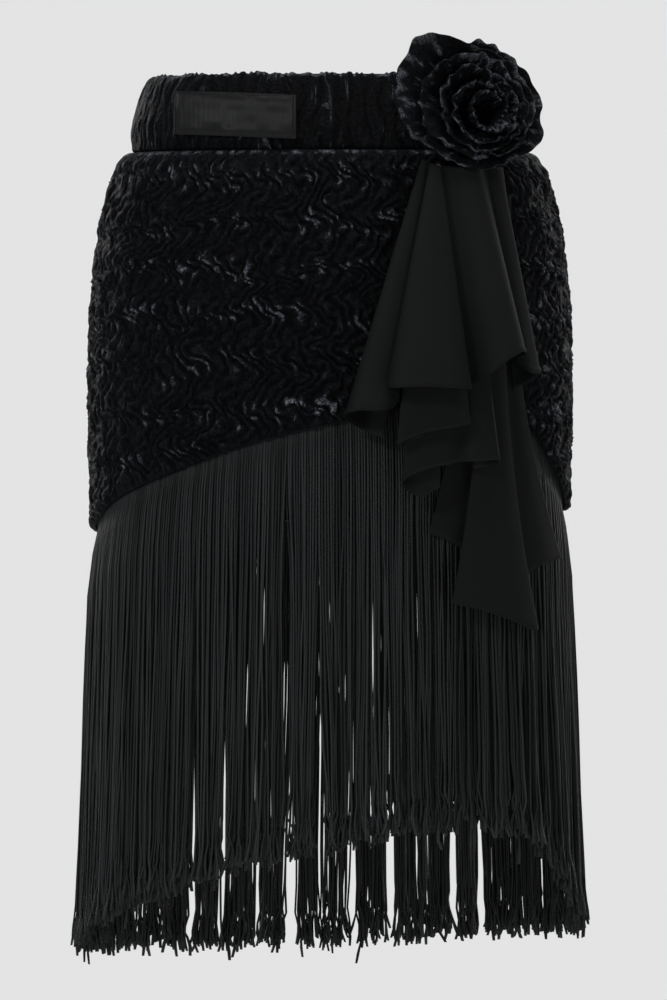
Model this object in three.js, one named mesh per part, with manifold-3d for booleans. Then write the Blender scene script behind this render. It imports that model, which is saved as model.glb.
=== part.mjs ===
// A dancer's fringe skirt in black crinkled velvet, in millimetres, +Z up, worn with no wearer.
// The wearer would face -Y. The origin is the centre of the waist, halfway up the elastic waistband.
// The skirt is a hollow tube: a gathered waistband, a front and a back hip panel with an arched hem,
// and a fringe on a narrow tape inside that hem. A rolled velvet rose, a cascade of folded crepe
// tiers and a bare woven label are sewn to the front.
import * as THREE from "three";
import { mergeVertices } from "three/addons/utils/BufferGeometryUtils.js";
import Module from "manifold-3d";

const wasm = await Module();
wasm.setup();

const SEAM_GAP = 0.3; // between two sewn pieces
const WAIST_SEAM = -27.5; // the waistband's lower edge
const CLOTH = 1.9; // velvet with its backing
const FRINGE_DROP = 300; // hem to strand ends, a standard trade length

// How the colours look in daylight.
const VELVET = new THREE.MeshStandardMaterial({ color: 0x0c0d10, roughness: 0.75, metalness: 0 });
const CREPE = new THREE.MeshStandardMaterial({ color: 0x161817, roughness: 0.9, metalness: 0 });
const RAYON = new THREE.MeshStandardMaterial({ color: 0x111315, roughness: 0.55, metalness: 0 });
const SATIN = new THREE.MeshStandardMaterial({ color: 0x1a1b1b, roughness: 0.45, metalness: 0 });

// The outermost line of the waistband: half its width, and how far it stands in front and behind.
const BAND_OUTLINE = [
  { z: -27.5, halfWidth: 143.5, front: 99.5, back: 103 },
  { z: -12, halfWidth: 142.5, front: 98, back: 101 },
  { z: 5, halfWidth: 139, front: 95, back: 97 },
  { z: 20, halfWidth: 134, front: 91, back: 93 },
  { z: 27, halfWidth: 130, front: 88, back: 90 },
];

// The same for the hip panels, and below their hem for the hanging fringe.
const SKIRT_OUTLINE = [
  { z: -602, halfWidth: 184, front: 126, back: 130 },
  { z: -520, halfWidth: 181, front: 124, back: 128 },
  { z: -430, halfWidth: 178, front: 122, back: 127 },
  { z: -360, halfWidth: 175.5, front: 121, back: 126 },
  { z: -290, halfWidth: 173.5, front: 120, back: 127 },
  { z: -200, halfWidth: 175, front: 120, back: 130 },
  { z: -133, halfWidth: 173, front: 118, back: 130 },
  { z: -76, halfWidth: 166, front: 113, back: 124 },
  { z: -47, halfWidth: 158.5, front: 108, back: 116 },
  { z: -34, halfWidth: 152.5, front: 104.5, back: 111 },
  { z: -27.8, halfWidth: 147, front: 101, back: 106 },
];

// The hem's height round the skirt. 0 degrees is the wearer's left side (+X), 90 the back, 270 the front.
const HEM = [
  { degrees: 0, z: -284 },
  { degrees: 45, z: -290 },
  { degrees: 90, z: -300 },
  { degrees: 135, z: -300 },
  { degrees: 180, z: -297 },
  { degrees: 207, z: -275 },
  { degrees: 228, z: -258 },
  { degrees: 251, z: -237 },
  { degrees: 272, z: -222 },
  { degrees: 296, z: -209 },
  { degrees: 315, z: -212 },
  { degrees: 326, z: -223 },
  { degrees: 338, z: -250 },
  { degrees: 350, z: -270 },
  { degrees: 360, z: -284 },
];

// Crinkled velvet: ridges that run down the cloth and zigzag from side to side.
const CRINKLE = { ridgesPerPanel: 50, rows: 11, relief: 3, lean: 0.42, seamTaper: 5 };
const BAND = { gathers: 56, relief: 2.4 };

// A smooth curve through one column of a table.
function curveThrough(rows, key, column) {
  const keys = rows.map((row) => row[key]);
  const values = rows.map((row) => row[column]);
  const curve = new THREE.CubicInterpolant(keys, values, 1, new Float32Array(1));
  const lowest = keys[0];
  const highest = keys[keys.length - 1];
  return (at) => curve.evaluate(Math.min(Math.max(at, lowest), highest))[0];
}

// A tube's outline at any height: point(angle, z, offset) lies that far outside it.
function figure(rows) {
  const halfWidth = curveThrough(rows, "z", "halfWidth");
  const front = curveThrough(rows, "z", "front");
  const back = curveThrough(rows, "z", "back");
  const depth = (z, behind) => (behind ? back(z) : front(z));
  const point = (angle, z, offset = 0) => {
    const sine = Math.sin(angle);
    return [(halfWidth(z) + offset) * Math.cos(angle), (depth(z, sine > 0) + offset) * sine, z];
  };
  // The point on the front at a given distance from the middle line.
  const frontPoint = (x, z, offset) => {
    const share = Math.min(Math.abs(x) / (halfWidth(z) + offset), 0.999);
    return [x, -(front(z) + offset) * Math.sqrt(1 - share * share), z];
  };
  return { point, frontPoint };
}

const band = figure(BAND_OUTLINE);
const skirt = figure(SKIRT_OUTLINE);
const hemByDegrees = curveThrough(HEM, "degrees", "z");
const hemHeight = (angle) => hemByDegrees((((angle * 180) / Math.PI) % 360 + 360) % 360);

// Angles that are evenly spaced along the outline at hip height: angleAt(share) for share 0 to 1.
function evenAngles(from, to) {
  const STEPS = 720;
  const HIP = -200;
  const lengths = [0];
  for (let i = 1; i <= STEPS; i++) {
    const a = skirt.point(from + ((to - from) * (i - 1)) / STEPS, HIP);
    const b = skirt.point(from + ((to - from) * i) / STEPS, HIP);
    lengths.push(lengths[i - 1] + Math.hypot(b[0] - a[0], b[1] - a[1]));
  }
  const total = lengths[STEPS];
  const angleAt = (share) => {
    const wanted = Math.min(Math.max(share, 0), 1) * total;
    let i = 1;
    while (i < STEPS && lengths[i] < wanted) i++;
    const within = (wanted - lengths[i - 1]) / (lengths[i] - lengths[i - 1]);
    return from + ((to - from) * (i - 1 + within)) / STEPS;
  };
  return { angleAt, total };
}

// A repeatable wobble between -1 and 1, so that no two ridges or strands are quite alike.
const wobble = (i, j = 0) => Math.sin(12.9898 * i + 78.233 * j + 3.7) * Math.cos(4.171 * i - 9.31 * j);

// Collects the triangles of one closed wall.
class Wall {
  constructor() {
    this.positions = [];
  }

  face(a, b, c) {
    this.positions.push(...a, ...b, ...c);
  }

  // A grid of points [row][column], rows running down and columns anticlockwise seen from above.
  grid(points, flipped = false) {
    for (let i = 0; i + 1 < points.length; i++) {
      for (let j = 0; j + 1 < points[i].length; j++) {
        const [a, b] = [points[i][j], points[i][j + 1]];
        const [c, d] = [points[i + 1][j], points[i + 1][j + 1]];
        if (flipped) {
          this.face(a, b, c);
          this.face(b, d, c);
        } else {
          this.face(a, c, b);
          this.face(b, c, d);
        }
      }
    }
  }

  // Joins two edges that may have different numbers of points, by the shorter way across.
  bridge(outer, inner) {
    const across = (a, b) => (a && b ? Math.hypot(a[0] - b[0], a[1] - b[1], a[2] - b[2]) : Infinity);
    let [j, k] = [0, 0];
    while (j + 1 < outer.length || k + 1 < inner.length) {
      if (across(outer[j + 1], inner[k]) <= across(outer[j], inner[k + 1])) {
        this.face(outer[j], outer[j + 1], inner[k]);
        j++;
      } else {
        this.face(outer[j], inner[k + 1], inner[k]);
        k++;
      }
    }
  }

  // Both faces of a wall and the edges between them. A closed ring has no side edges.
  shell(outer, inner, ring = false) {
    this.grid(outer);
    this.grid(inner, true);
    const last = (list) => list[list.length - 1];
    this.bridge(outer[0], inner[0]);
    this.bridge([...last(outer)].reverse(), [...last(inner)].reverse());
    if (!ring) {
      this.bridge(outer.map((row) => row[0]).reverse(), inner.map((row) => row[0]).reverse());
      this.bridge(outer.map(last), inner.map(last));
    }
    return this;
  }

  geometry() {
    const geometry = new THREE.BufferGeometry();
    geometry.setAttribute("position", new THREE.Float32BufferAttribute(this.positions, 3));
    return geometry;
  }
}

function named(name, geometry, material) {
  if (!geometry.getAttribute("normal")) geometry.computeVertexNormals();
  const mesh = new THREE.Mesh(geometry, material);
  mesh.name = name;
  return mesh;
}

// A geometry as a manifold solid, and back.
function solidOf(geometry) {
  const bare = geometry.clone();
  bare.deleteAttribute("normal");
  bare.deleteAttribute("uv");
  const merged = mergeVertices(bare, 1e-3);
  const vertProperties = merged.attributes.position.array;
  const triVerts = new Uint32Array(merged.index.array);
  return new wasm.Manifold(new wasm.Mesh({ numProp: 3, vertProperties, triVerts }));
}

function geometryOf(solid) {
  const mesh = solid.getMesh();
  const geometry = new THREE.BufferGeometry();
  geometry.setAttribute("position", new THREE.BufferAttribute(mesh.vertProperties, 3));
  geometry.setIndex(new THREE.BufferAttribute(mesh.triVerts, 1));
  return geometry;
}

// One hip panel. Its outer points follow the zigzag ridges, its inside is plain.
function hipPanel(name, fromDegrees, toDegrees) {
  const { ridgesPerPanel, rows, relief, lean, seamTaper } = CRINKLE;
  const SEAM_INSET = THREE.MathUtils.degToRad(0.09); // half of the seam gap at the side
  const from = THREE.MathUtils.degToRad(fromDegrees) + SEAM_INSET;
  const to = THREE.MathUtils.degToRad(toDegrees) - SEAM_INSET;
  const { angleAt } = evenAngles(from, to);
  const columns = 2 * ridgesPerPanel;
  const TOP = WAIST_SEAM - SEAM_GAP;
  const rowHeight = (angle, i) => TOP + ((hemHeight(angle) - TOP) * i) / rows;

  const outer = [];
  for (let i = 0; i <= rows; i++) {
    const row = [];
    for (let j = 0; j <= columns; j++) {
      const fromSeam = Math.min(j, columns - j);
      const taper = Math.min(fromSeam / seamTaper, 1);
      const shift = (i % 2 ? 1 : -1) * lean * 2 * taper * (1 + 0.3 * wobble(j >> 1, i));
      const angle = angleAt((j + shift) / columns);
      const sewn = i === 0 || i === rows ? 0.5 : 1;
      const crest = j % 2 ? 0.3 * (1 + wobble(j, i)) : 1;
      row.push(skirt.point(angle, rowHeight(angle, i), -relief * crest * (j % 2 ? 1 : sewn)));
    }
    outer.push(row);
  }

  const INNER_COLUMNS = 30;
  const INNER_ROWS = [0, 1, 2, 4, 7, rows];
  const inner = INNER_ROWS.map((i) => {
    const row = [];
    for (let j = 0; j <= INNER_COLUMNS; j++) {
      const angle = angleAt(j / INNER_COLUMNS);
      row.push(skirt.point(angle, rowHeight(angle, i), -relief - CLOTH));
    }
    return row;
  });
  return named(name, new Wall().shell(outer, inner).geometry(), VELVET);
}

// The gathered velvet casing over the elastic.
function waistband() {
  const { gathers, relief } = BAND;
  const LEVELS = [
    { z: 27, wave: 1 },
    { z: 21, wave: 0.6 },
    { z: 2, wave: 1 },
    { z: -18, wave: 0.9 },
    { z: WAIST_SEAM, wave: 0.5 },
  ];
  const INNER = { columns: 40, heights: [27, 15, -5, WAIST_SEAM] };
  const columns = 2 * gathers;
  const { angleAt } = evenAngles(0, 2 * Math.PI);
  const ringOf = (count, pointOf) => {
    const ring = [];
    for (let j = 0; j < count; j++) ring.push(pointOf(j));
    return [...ring, ring[0]];
  };
  const outer = LEVELS.map(({ z, wave }, i) =>
    ringOf(columns, (j) => {
      const drift = 0.35 * wobble(j >> 1, i);
      const angle = angleAt((j + 0.5 + drift) / columns);
      const depth = j % 2 ? 0.25 * (1 + wobble(j, i)) : wave;
      return band.point(angle, z, -relief * depth);
    }),
  );
  const inner = INNER.heights.map((z) =>
    ringOf(INNER.columns, (j) => band.point(angleAt(j / INNER.columns), z, -relief - CLOTH)),
  );
  return named("waistband", new Wall().shell(outer, inner, true).geometry(), VELVET);
}

// The fringe: locks of rope-like strands that hang from a tape behind the hem.
function fringe() {
  const LOCKS = 180;
  const TAPE = { columns: 80, out: -CRINKLE.relief - CLOTH - 0.9, thick: 2.4, top: 9, bottom: 1.5 };
  const LOCK = { topWidth: 3.2, endWidth: 2.5, thick: 1.4, root: 3, lean: -0.2, out: -1.5, sway: 1.2 };
  const UNEVEN = { drop: 7, gathering: 0.26, straying: 0.12 }; // of the locks' ends
  const CLUMPS = [7, 5, 9, 6, 8]; // how many neighbouring locks drift together, in turn
  const { angleAt, total } = evenAngles(0, 2 * Math.PI);
  const middle = TAPE.out - TAPE.thick / 2;

  const tapeRows = (offset) =>
    [TAPE.top, TAPE.bottom].map((above) => {
      const row = [];
      for (let j = 0; j < TAPE.columns; j++) {
        const angle = angleAt(j / TAPE.columns);
        row.push(skirt.point(angle, hemHeight(angle) + above, offset));
      }
      return [...row, row[0]];
    });
  const tape = new Wall().shell(tapeRows(TAPE.out), tapeRows(TAPE.out - TAPE.thick), true);

  // Where the middle of each lock's clump lies, counted in locks.
  const clumpMiddle = [];
  for (let clump = 0; clumpMiddle.length < LOCKS; clump++) {
    const size = Math.min(CLUMPS[clump % CLUMPS.length], LOCKS - clumpMiddle.length);
    const centre = clumpMiddle.length + (size - 1) / 2;
    for (let i = 0; i < size; i++) clumpMiddle.push(centre);
  }

  const NECK = 0.14; // share of the drop in which a lock swings out from the tape
  const locks = new Wall();
  for (let k = 0; k < LOCKS; k++) {
    const drop = FRINGE_DROP + UNEVEN.drop * wobble(k, 2);
    const rootAngle = angleAt((k + 0.5) / LOCKS);
    const rootHeight = hemHeight(rootAngle) + TAPE.bottom + LOCK.root;
    const rings = [0, NECK, 1].map((share) => {
      const gathering = UNEVEN.gathering * share ** 2 * (clumpMiddle[k] - k);
      const straying = UNEVEN.straying * share * wobble(k, 9);
      const width = THREE.MathUtils.lerp(LOCK.topWidth, LOCK.endWidth, share);
      const halfShare = width / 2 / total;
      const at = (k + 0.5 + gathering + straying) / LOCKS;
      const z = rootHeight - share * (drop + TAPE.bottom + LOCK.root);
      const out = THREE.MathUtils.lerp(middle + LOCK.lean, LOCK.out, Math.min(share / NECK, 1));
      const off = out + LOCK.sway * share * wobble(k, 4);
      return [
        skirt.point(angleAt(at + halfShare), z, off + LOCK.thick / 2),
        skirt.point(angleAt(at - halfShare), z, off + LOCK.thick / 2),
        skirt.point(angleAt(at), z, off - LOCK.thick / 2),
      ];
    });
    rings.forEach((ring, i) => {
      if (!i) return;
      for (let s = 0; s < 3; s++) {
        const t = (s + 1) % 3;
        const above = rings[i - 1];
        locks.face(above[s], above[t], ring[s]);
        locks.face(above[t], ring[t], ring[s]);
      }
    });
    const end = rings[rings.length - 1];
    locks.face(rings[0][2], rings[0][1], rings[0][0]);
    locks.face(end[0], end[1], end[2]);
  }
  const whole = solidOf(tape.geometry()).add(solidOf(locks.geometry()));
  return named("fringe", geometryOf(whole), RAYON);
}

// The cascade's tiers, each a folded sheet that is pleated together towards its top edge. A row of
// its folds is a point that the free edge passes, off the skirt by off, and topX is where that
// fold starts at the top. There it keeps topDepth of its depth from off = base, and a flare above
// 1 keeps the folds together longer on the way down.
const TIERS = {
  cascade_upper: {
    base: 4,
    topZ: -40,
    topDepth: 0.3,
    flare: 1,
    columns: 46,
    folds: [
      { x: 38, z: -233, off: 12, topX: 71 },
      { x: 26, z: -229, off: 11, topX: 69 },
      { x: 12, z: -221, off: 14, topX: 66 },
      { x: 11, z: -217, off: 23, topX: 65.5 },
      { x: 20, z: -214, off: 31, topX: 66.5 },
      { x: 34, z: -214, off: 32, topX: 68 },
      { x: 45, z: -212, off: 29, topX: 70.5 },
      { x: 48, z: -205, off: 33, topX: 72 },
      { x: 40, z: -198, off: 39, topX: 71.5 },
      { x: 47, z: -198, off: 46, topX: 72.5 },
      { x: 66, z: -197, off: 49, topX: 73.5 },
      { x: 86, z: -198, off: 46, topX: 76 },
      { x: 100, z: -199, off: 40, topX: 78 },
      { x: 90, z: -199, off: 33, topX: 78.5 },
      { x: 97, z: -198, off: 29, topX: 82.5 },
      { x: 112, z: -189, off: 35, topX: 90 },
      { x: 125, z: -179, off: 41, topX: 98 },
      { x: 137, z: -172, off: 37, topX: 105 },
      { x: 139, z: -174, off: 28, topX: 108 },
      { x: 133, z: -179, off: 22, topX: 111 },
      { x: 144, z: -187, off: 21, topX: 117 },
      { x: 150, z: -187, off: 17, topX: 121 },
      { x: 141, z: -193, off: 12, topX: 123 },
      { x: 130, z: -199, off: 8, topX: 121 },
    ],
  },
  cascade_middle: {
    base: 15.1,
    topZ: -150,
    topDepth: 0.47,
    flare: 1,
    columns: 14,
    folds: [
      { x: 66, z: -232, off: 25.6, topX: 69 },
      { x: 50, z: -238, off: 25.6, topX: 58 },
      { x: 48, z: -238, off: 30.6, topX: 56.5 },
      { x: 66, z: -230, off: 33.6, topX: 69 },
      { x: 86, z: -226, off: 34.1, topX: 83 },
      { x: 99, z: -223, off: 29.6, topX: 92 },
      { x: 88, z: -221, off: 23.6, topX: 84.5 },
    ],
  },
  cascade_lower: {
    base: 10.4,
    topZ: -120,
    topDepth: 0.45,
    flare: 1,
    columns: 26,
    folds: [
      { x: 78, z: -268, off: 17.1, topX: 80.5 },
      { x: 64, z: -275, off: 16.6, topX: 72 },
      { x: 51, z: -267, off: 18.1, topX: 64 },
      { x: 54, z: -262, off: 23.1, topX: 66 },
      { x: 70, z: -255, off: 24.6, topX: 75.5 },
      { x: 84, z: -252, off: 22.6, topX: 84 },
      { x: 92, z: -250, off: 20.1, topX: 89 },
      { x: 104, z: -250, off: 24.6, topX: 96 },
      { x: 120, z: -249, off: 23.1, topX: 104 },
      { x: 119, z: -252, off: 18.1, topX: 104 },
      { x: 102, z: -255, off: 17.1, topX: 95 },
    ],
  },
  cascade_tail: {
    base: 1.2,
    topZ: -60,
    topDepth: 0.2,
    flare: 2.4,
    columns: 28,
    folds: [
      { x: 70, z: -301, off: 1.2, topX: 98 },
      { x: 84, z: -306, off: 1.8, topX: 101 },
      { x: 95, z: -314, off: 2.4, topX: 104 },
      { x: 98, z: -328, off: 6, topX: 107 },
      { x: 93, z: -342, off: 9.5, topX: 109 },
      { x: 87, z: -350, off: 13, topX: 111 },
      { x: 98, z: -353, off: 16, topX: 113.5 },
      { x: 116, z: -358, off: 16.5, topX: 116 },
      { x: 132, z: -364, off: 16, topX: 118.5 },
      { x: 148, z: -370, off: 12.5, topX: 121 },
      { x: 141, z: -346, off: 7.5, topX: 122.5 },
      { x: 142, z: -330, off: 4, topX: 124 },
      { x: 155, z: -322, off: 6, topX: 126.5 },
      { x: 166, z: -319, off: 4.5, topX: 129 },
    ],
  },
};

function cascadeTier(name) {
  const { base, topZ, topDepth, flare, columns, folds } = TIERS[name];
  const THICK = 1;
  const LIFT = { below: 76, slope: 0.5 }; // the pleats climb towards the middle of the skirt
  const SHARES = [0, 0.12, 0.32, 0.64, 1]; // rows, as shares of the way down
  const curve = (point) => new THREE.CatmullRomCurve3(folds.map(point));
  const edge = curve(({ x, z, off }) => new THREE.Vector3(x, off, z));
  const top = curve(({ off, topX }) => {
    const lift = LIFT.slope * Math.max(0, LIFT.below - topX);
    return new THREE.Vector3(topX, THREE.MathUtils.lerp(base, off, topDepth), topZ + lift);
  });
  const stations = [];
  for (let j = 0; j <= columns; j++) stations.push(edge.getUtoTmapping(j / columns));
  const middle = SHARES.map((share) =>
    stations.map((along) => {
      const start = top.getPoint(along);
      const end = edge.getPoint(along);
      const x = THREE.MathUtils.lerp(start.x, end.x, share ** flare);
      const off = THREE.MathUtils.lerp(start.y, end.y, share);
      const z = THREE.MathUtils.lerp(start.z, end.z, share);
      return new THREE.Vector3(...skirt.frontPoint(x, z, off));
    }),
  );
  // Each face lies half a thickness off the middle surface, along its normal.
  const faceAt = (i, j, side) => {
    const right = middle[i][Math.min(j + 1, columns)];
    const below = middle[Math.min(i + 1, SHARES.length - 1)][j];
    const across = right.clone().sub(middle[i][Math.max(j - 1, 0)]);
    const down = below.clone().sub(middle[Math.max(i - 1, 0)][j]);
    const normal = down.cross(across).normalize();
    return middle[i][j].clone().addScaledVector(normal, (side * THICK) / 2).toArray();
  };
  const face = (side) => middle.map((row, i) => row.map((_, j) => faceAt(i, j, side)));
  return named(name, new Wall().shell(face(1), face(-1)).geometry(), CREPE);
}

// The rose: a folded velvet strip rolled up from its heart outwards, on a round base whose back
// follows the waistband. It is built facing +Z, then turned to face forwards and a little sideways.
function rose() {
  const SEAT = {
    x: 97.5,
    z: 1,
    turn: THREE.MathUtils.degToRad(29),
    tip: THREE.MathUtils.degToRad(12),
  };
  const BASE = { radius: 25, thick: 3, offset: SEAM_GAP + 0.3, around: 24 };
  const STRIP = { turns: 4.1, stepsPerTurn: 16, end: THREE.MathUtils.degToRad(85), half: 1.2 };
  const HEIGHT = { heart: 36, end: 20 };
  // The outer petals' edges are drawn out sideways and off the middle.
  const OUTWARD = { drift: -9.5, stretch: 1.13 };
  // Radii at the strip's foot, at half height and at its edge, and its share of OUTWARD, by turns
  // counted back from its outer end.
  const PETALS = [
    { turns: 0, foot: 21, belly: 33, rim: 46.5, outward: 1 },
    { turns: 0.08, foot: 20.7, belly: 33, rim: 49, outward: 1 },
    { turns: 0.27, foot: 20, belly: 32.5, rim: 50, outward: 1 },
    { turns: 0.5, foot: 19, belly: 31.5, rim: 46.5, outward: 1 },
    { turns: 0.75, foot: 18, belly: 30.5, rim: 50, outward: 1 },
    { turns: 0.94, foot: 17.2, belly: 28.5, rim: 51, outward: 0.95 },
    { turns: 1.02, foot: 16.8, belly: 27, rim: 41, outward: 0.8 },
    { turns: 1.2, foot: 16, belly: 25, rim: 34, outward: 0.5 },
    { turns: 1.5, foot: 14.5, belly: 22, rim: 32.5, outward: 0.4 },
    { turns: 1.75, foot: 13.5, belly: 20.5, rim: 33.5, outward: 0.35 },
    { turns: 2, foot: 12.3, belly: 17.5, rim: 26, outward: 0.3 },
    { turns: 2.4, foot: 10.5, belly: 14.5, rim: 21, outward: 0.2 },
    { turns: 3, foot: 7.8, belly: 10, rim: 15, outward: 0.1 },
    { turns: 3.5, foot: 5.5, belly: 6.8, rim: 10.5, outward: 0.05 },
    { turns: 4.1, foot: 3, belly: 3.8, rim: 4.5, outward: 0 },
  ];
  const petal = (key) => curveThrough(PETALS, "turns", key);
  const [footAt, bellyAt, rimAt] = [petal("foot"), petal("belly"), petal("rim")];
  const outwardAt = petal("outward");

  const [seatX, seatY] = band.frontPoint(SEAT.x, SEAT.z, BASE.offset);
  const place = new THREE.Matrix4()
    .makeTranslation(seatX, seatY, SEAT.z)
    .multiply(new THREE.Matrix4().makeRotationZ(SEAT.turn))
    .multiply(new THREE.Matrix4().makeRotationX(Math.PI / 2 - SEAT.tip));
  const placed = (u, v, h) => new THREE.Vector3(u, v, h).applyMatrix4(place).toArray();

  const steps = Math.round(STRIP.turns * STRIP.stepsPerTurn);
  const rings = [];
  for (let s = 0; s <= steps; s++) {
    const back = ((steps - s) / steps) * STRIP.turns;
    const angle = STRIP.end - 2 * Math.PI * back;
    const wave = Math.sin(angle * 3.3 + 1) * outwardAt(back);
    const height = THREE.MathUtils.mapLinear(back, 0, STRIP.turns, HEIGHT.end, HEIGHT.heart);
    const edgeHeight = height + 0.6 * wobble(s, 3);
    const half = STRIP.half;
    // The strip's middle line in section, from its foot in the base to its folded edge.
    const spine = [
      new THREE.Vector2(footAt(back), BASE.thick - 1),
      new THREE.Vector2(bellyAt(back) + 0.4 * wave, height * 0.5),
      new THREE.Vector2(rimAt(back) + 0.8 * wave, edgeHeight),
    ];
    const sideOf = (side) =>
      spine.map((point, i) => {
        const along = spine[Math.min(i + 1, 2)].clone().sub(spine[Math.max(i - 1, 0)]).normalize();
        return new THREE.Vector2(point.x + side * half * along.y, point.y - side * half * along.x);
      });
    const edge = spine[2].clone().sub(spine[1]).setLength(half).add(spine[2]);
    const profile = [...sideOf(1), edge, ...sideOf(-1).reverse()];
    rings.push(
      profile.map((point) => {
        const outward = THREE.MathUtils.clamp(point.y / height, 0, 1) * outwardAt(back);
        const stretch = THREE.MathUtils.lerp(1, OUTWARD.stretch, outward);
        const u = OUTWARD.drift * outward + point.x * stretch * Math.cos(angle);
        return placed(u, point.x * Math.sin(angle), point.y);
      }),
    );
  }
  const strip = new Wall();
  const sides = rings[0].length;
  const end = rings[steps];
  for (let s = 0; s < steps; s++) {
    for (let p = 0; p < sides; p++) {
      const q = (p + 1) % sides;
      strip.face(rings[s][p], rings[s + 1][p], rings[s][q]);
      strip.face(rings[s][q], rings[s + 1][p], rings[s + 1][q]);
    }
  }
  // The profile's corners, joined across the strip to close its two ends.
  const CAP = [
    [0, 1, 5],
    [0, 5, 6],
    [1, 2, 4],
    [1, 4, 5],
    [2, 3, 4],
  ];
  for (const [a, b, c] of CAP) {
    strip.face(rings[0][a], rings[0][b], rings[0][c]);
    strip.face(end[a], end[c], end[b]);
  }

  const base = new Wall();
  const onBase = (share, k, front) => {
    const angle = (2 * Math.PI * k) / BASE.around;
    const radius = share * BASE.radius;
    const point = placed(radius * Math.cos(angle), radius * Math.sin(angle), BASE.thick);
    return front ? point : band.frontPoint(point[0], point[2], BASE.offset);
  };
  for (let k = 0; k < BASE.around; k++) {
    base.face(onBase(0, 0, true), onBase(1, k, true), onBase(1, k + 1, true));
    base.face(onBase(0, 0, false), onBase(0.55, k + 1, false), onBase(0.55, k, false));
    base.face(onBase(0.55, k, false), onBase(0.55, k + 1, false), onBase(1, k, false));
    base.face(onBase(0.55, k + 1, false), onBase(1, k + 1, false), onBase(1, k, false));
    base.face(onBase(1, k, true), onBase(1, k, false), onBase(1, k + 1, true));
    base.face(onBase(1, k + 1, true), onBase(1, k, false), onBase(1, k + 1, false));
  }
  return named("rose", geometryOf(solidOf(strip.geometry()).add(solidOf(base.geometry()))), VELVET);
}

// A bare woven label, made from the waistband's own points and moved out.
function label() {
  const LABEL = { fromX: -108, toX: -24, top: 14.5, bottom: -20, thick: 1, columns: 8 };
  const rows = (offset) =>
    [LABEL.top, 0, LABEL.bottom].map((z) => {
      const row = [];
      for (let j = 0; j <= LABEL.columns; j++) {
        const x = THREE.MathUtils.lerp(LABEL.fromX, LABEL.toX, j / LABEL.columns);
        row.push(band.frontPoint(x, z, offset));
      }
      return row;
    });
  const inside = SEAM_GAP + 0.25;
  const wall = new Wall().shell(rows(inside + LABEL.thick), rows(inside));
  return named("label", wall.geometry(), SATIN);
}

const garment = new THREE.Group();
garment.add(
  waistband(),
  hipPanel("front_panel", 180, 360),
  hipPanel("back_panel", 0, 180),
  fringe(),
  ...Object.keys(TIERS).map(cascadeTier),
  rose(),
  label(),
);

export default garment;
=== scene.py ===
"""A dancer's fringe skirt in black crinkled velvet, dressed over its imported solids.

The front faces -Y, and the origin is the centre of the waist. Shapes are worked out in
millimetres, as the solids are, and become metres when a mesh is made.
"""

from __future__ import annotations

import logging
import math
from dataclasses import dataclass, field
from enum import Enum

import bpy
import numpy as np
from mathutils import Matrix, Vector


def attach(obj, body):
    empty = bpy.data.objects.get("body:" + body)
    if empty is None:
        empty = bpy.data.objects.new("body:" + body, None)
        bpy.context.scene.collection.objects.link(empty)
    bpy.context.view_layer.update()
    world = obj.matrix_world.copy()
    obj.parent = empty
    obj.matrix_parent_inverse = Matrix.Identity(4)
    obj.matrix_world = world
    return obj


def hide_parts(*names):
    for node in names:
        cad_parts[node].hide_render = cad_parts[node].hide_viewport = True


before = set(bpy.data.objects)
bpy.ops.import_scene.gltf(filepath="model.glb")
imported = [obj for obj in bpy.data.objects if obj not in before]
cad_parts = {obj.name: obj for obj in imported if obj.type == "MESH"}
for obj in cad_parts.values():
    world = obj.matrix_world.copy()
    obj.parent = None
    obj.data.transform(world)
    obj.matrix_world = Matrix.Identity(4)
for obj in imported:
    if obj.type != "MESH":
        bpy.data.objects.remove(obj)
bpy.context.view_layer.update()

log = logging.getLogger("fringe_skirt")
Array = np.ndarray
Values = float | np.ndarray
Triple = tuple[float, float, float]
Colour = Triple

MM = 0.001
BODY = "root"

SEAM_GAP = 0.3  # between two sewn pieces
WAIST_SEAM = -27.5  # the waistband's lower edge
RELIEF = 3.0  # how deep the crinkle goes below the outline
CLOTH = 1.9  # velvet with its backing
FRINGE_DROP = 300.0  # hem to strand ends
SEAT_GAP = SEAM_GAP + 0.3  # under what is sewn on the waistband
HIP_HEIGHT = -200.0  # where the way round the skirt is measured
RING_STEPS = 721  # points on the line that is measured
ALL_ROUND = (0.0, 360.0)
FULL_TURN = 2 * math.pi
WAVE_RATE = 20.0  # radians a metre in a wave texture at scale 1


class Slot(Enum):
    """The record's material slots."""

    VELVET = "velvet"
    FRINGE = "fringe"
    CREPE = "crepe"
    SATIN = "satin"


class Side(Enum):
    """The half of the skirt that a piece covers, as its first and last angle in degrees."""

    FRONT = (180.0, 360.0)
    BACK = (0.0, 180.0)


def ease(share: Array) -> Array:
    """Runs smoothly from 0 to 1 as share does."""
    t = np.clip(share, 0.0, 1.0)
    return t * t * (3 - 2 * t)


def lerp(start: Values, end: Values, share: Values) -> Values:
    """The value share of the way from start to end."""
    return start + (end - start) * share


def bell(distance: Array, width: Values) -> Array:
    """A hump of height 1 that has fallen to 0.37 at width from its middle."""
    return np.exp(-((distance / width) ** 2))


def ridge(phase: Array) -> Array:
    """A smooth ridge of height 1 wherever the phase is whole, and 0 halfway between."""
    return 0.5 + 0.5 * np.cos(FULL_TURN * phase)


def from_whole(phase: Array) -> Array:
    """How far the phase is from the nearest whole number, between -0.5 and 0.5."""
    return np.mod(phase + 0.5, 1.0) - 0.5


def rolled(edge: Array, width: float) -> Array:
    """The drop of a quarter circle, from 1 at an edge to 0 at width from it."""
    return 1 - np.sqrt(1 - (1 - np.clip(edge / width, 0, 1)) ** 2)


def closed(index: Array) -> Array:
    """A ring's point numbers with its first column repeated at the end."""
    return np.concatenate([index, index[:, :1]], axis=1)


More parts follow.
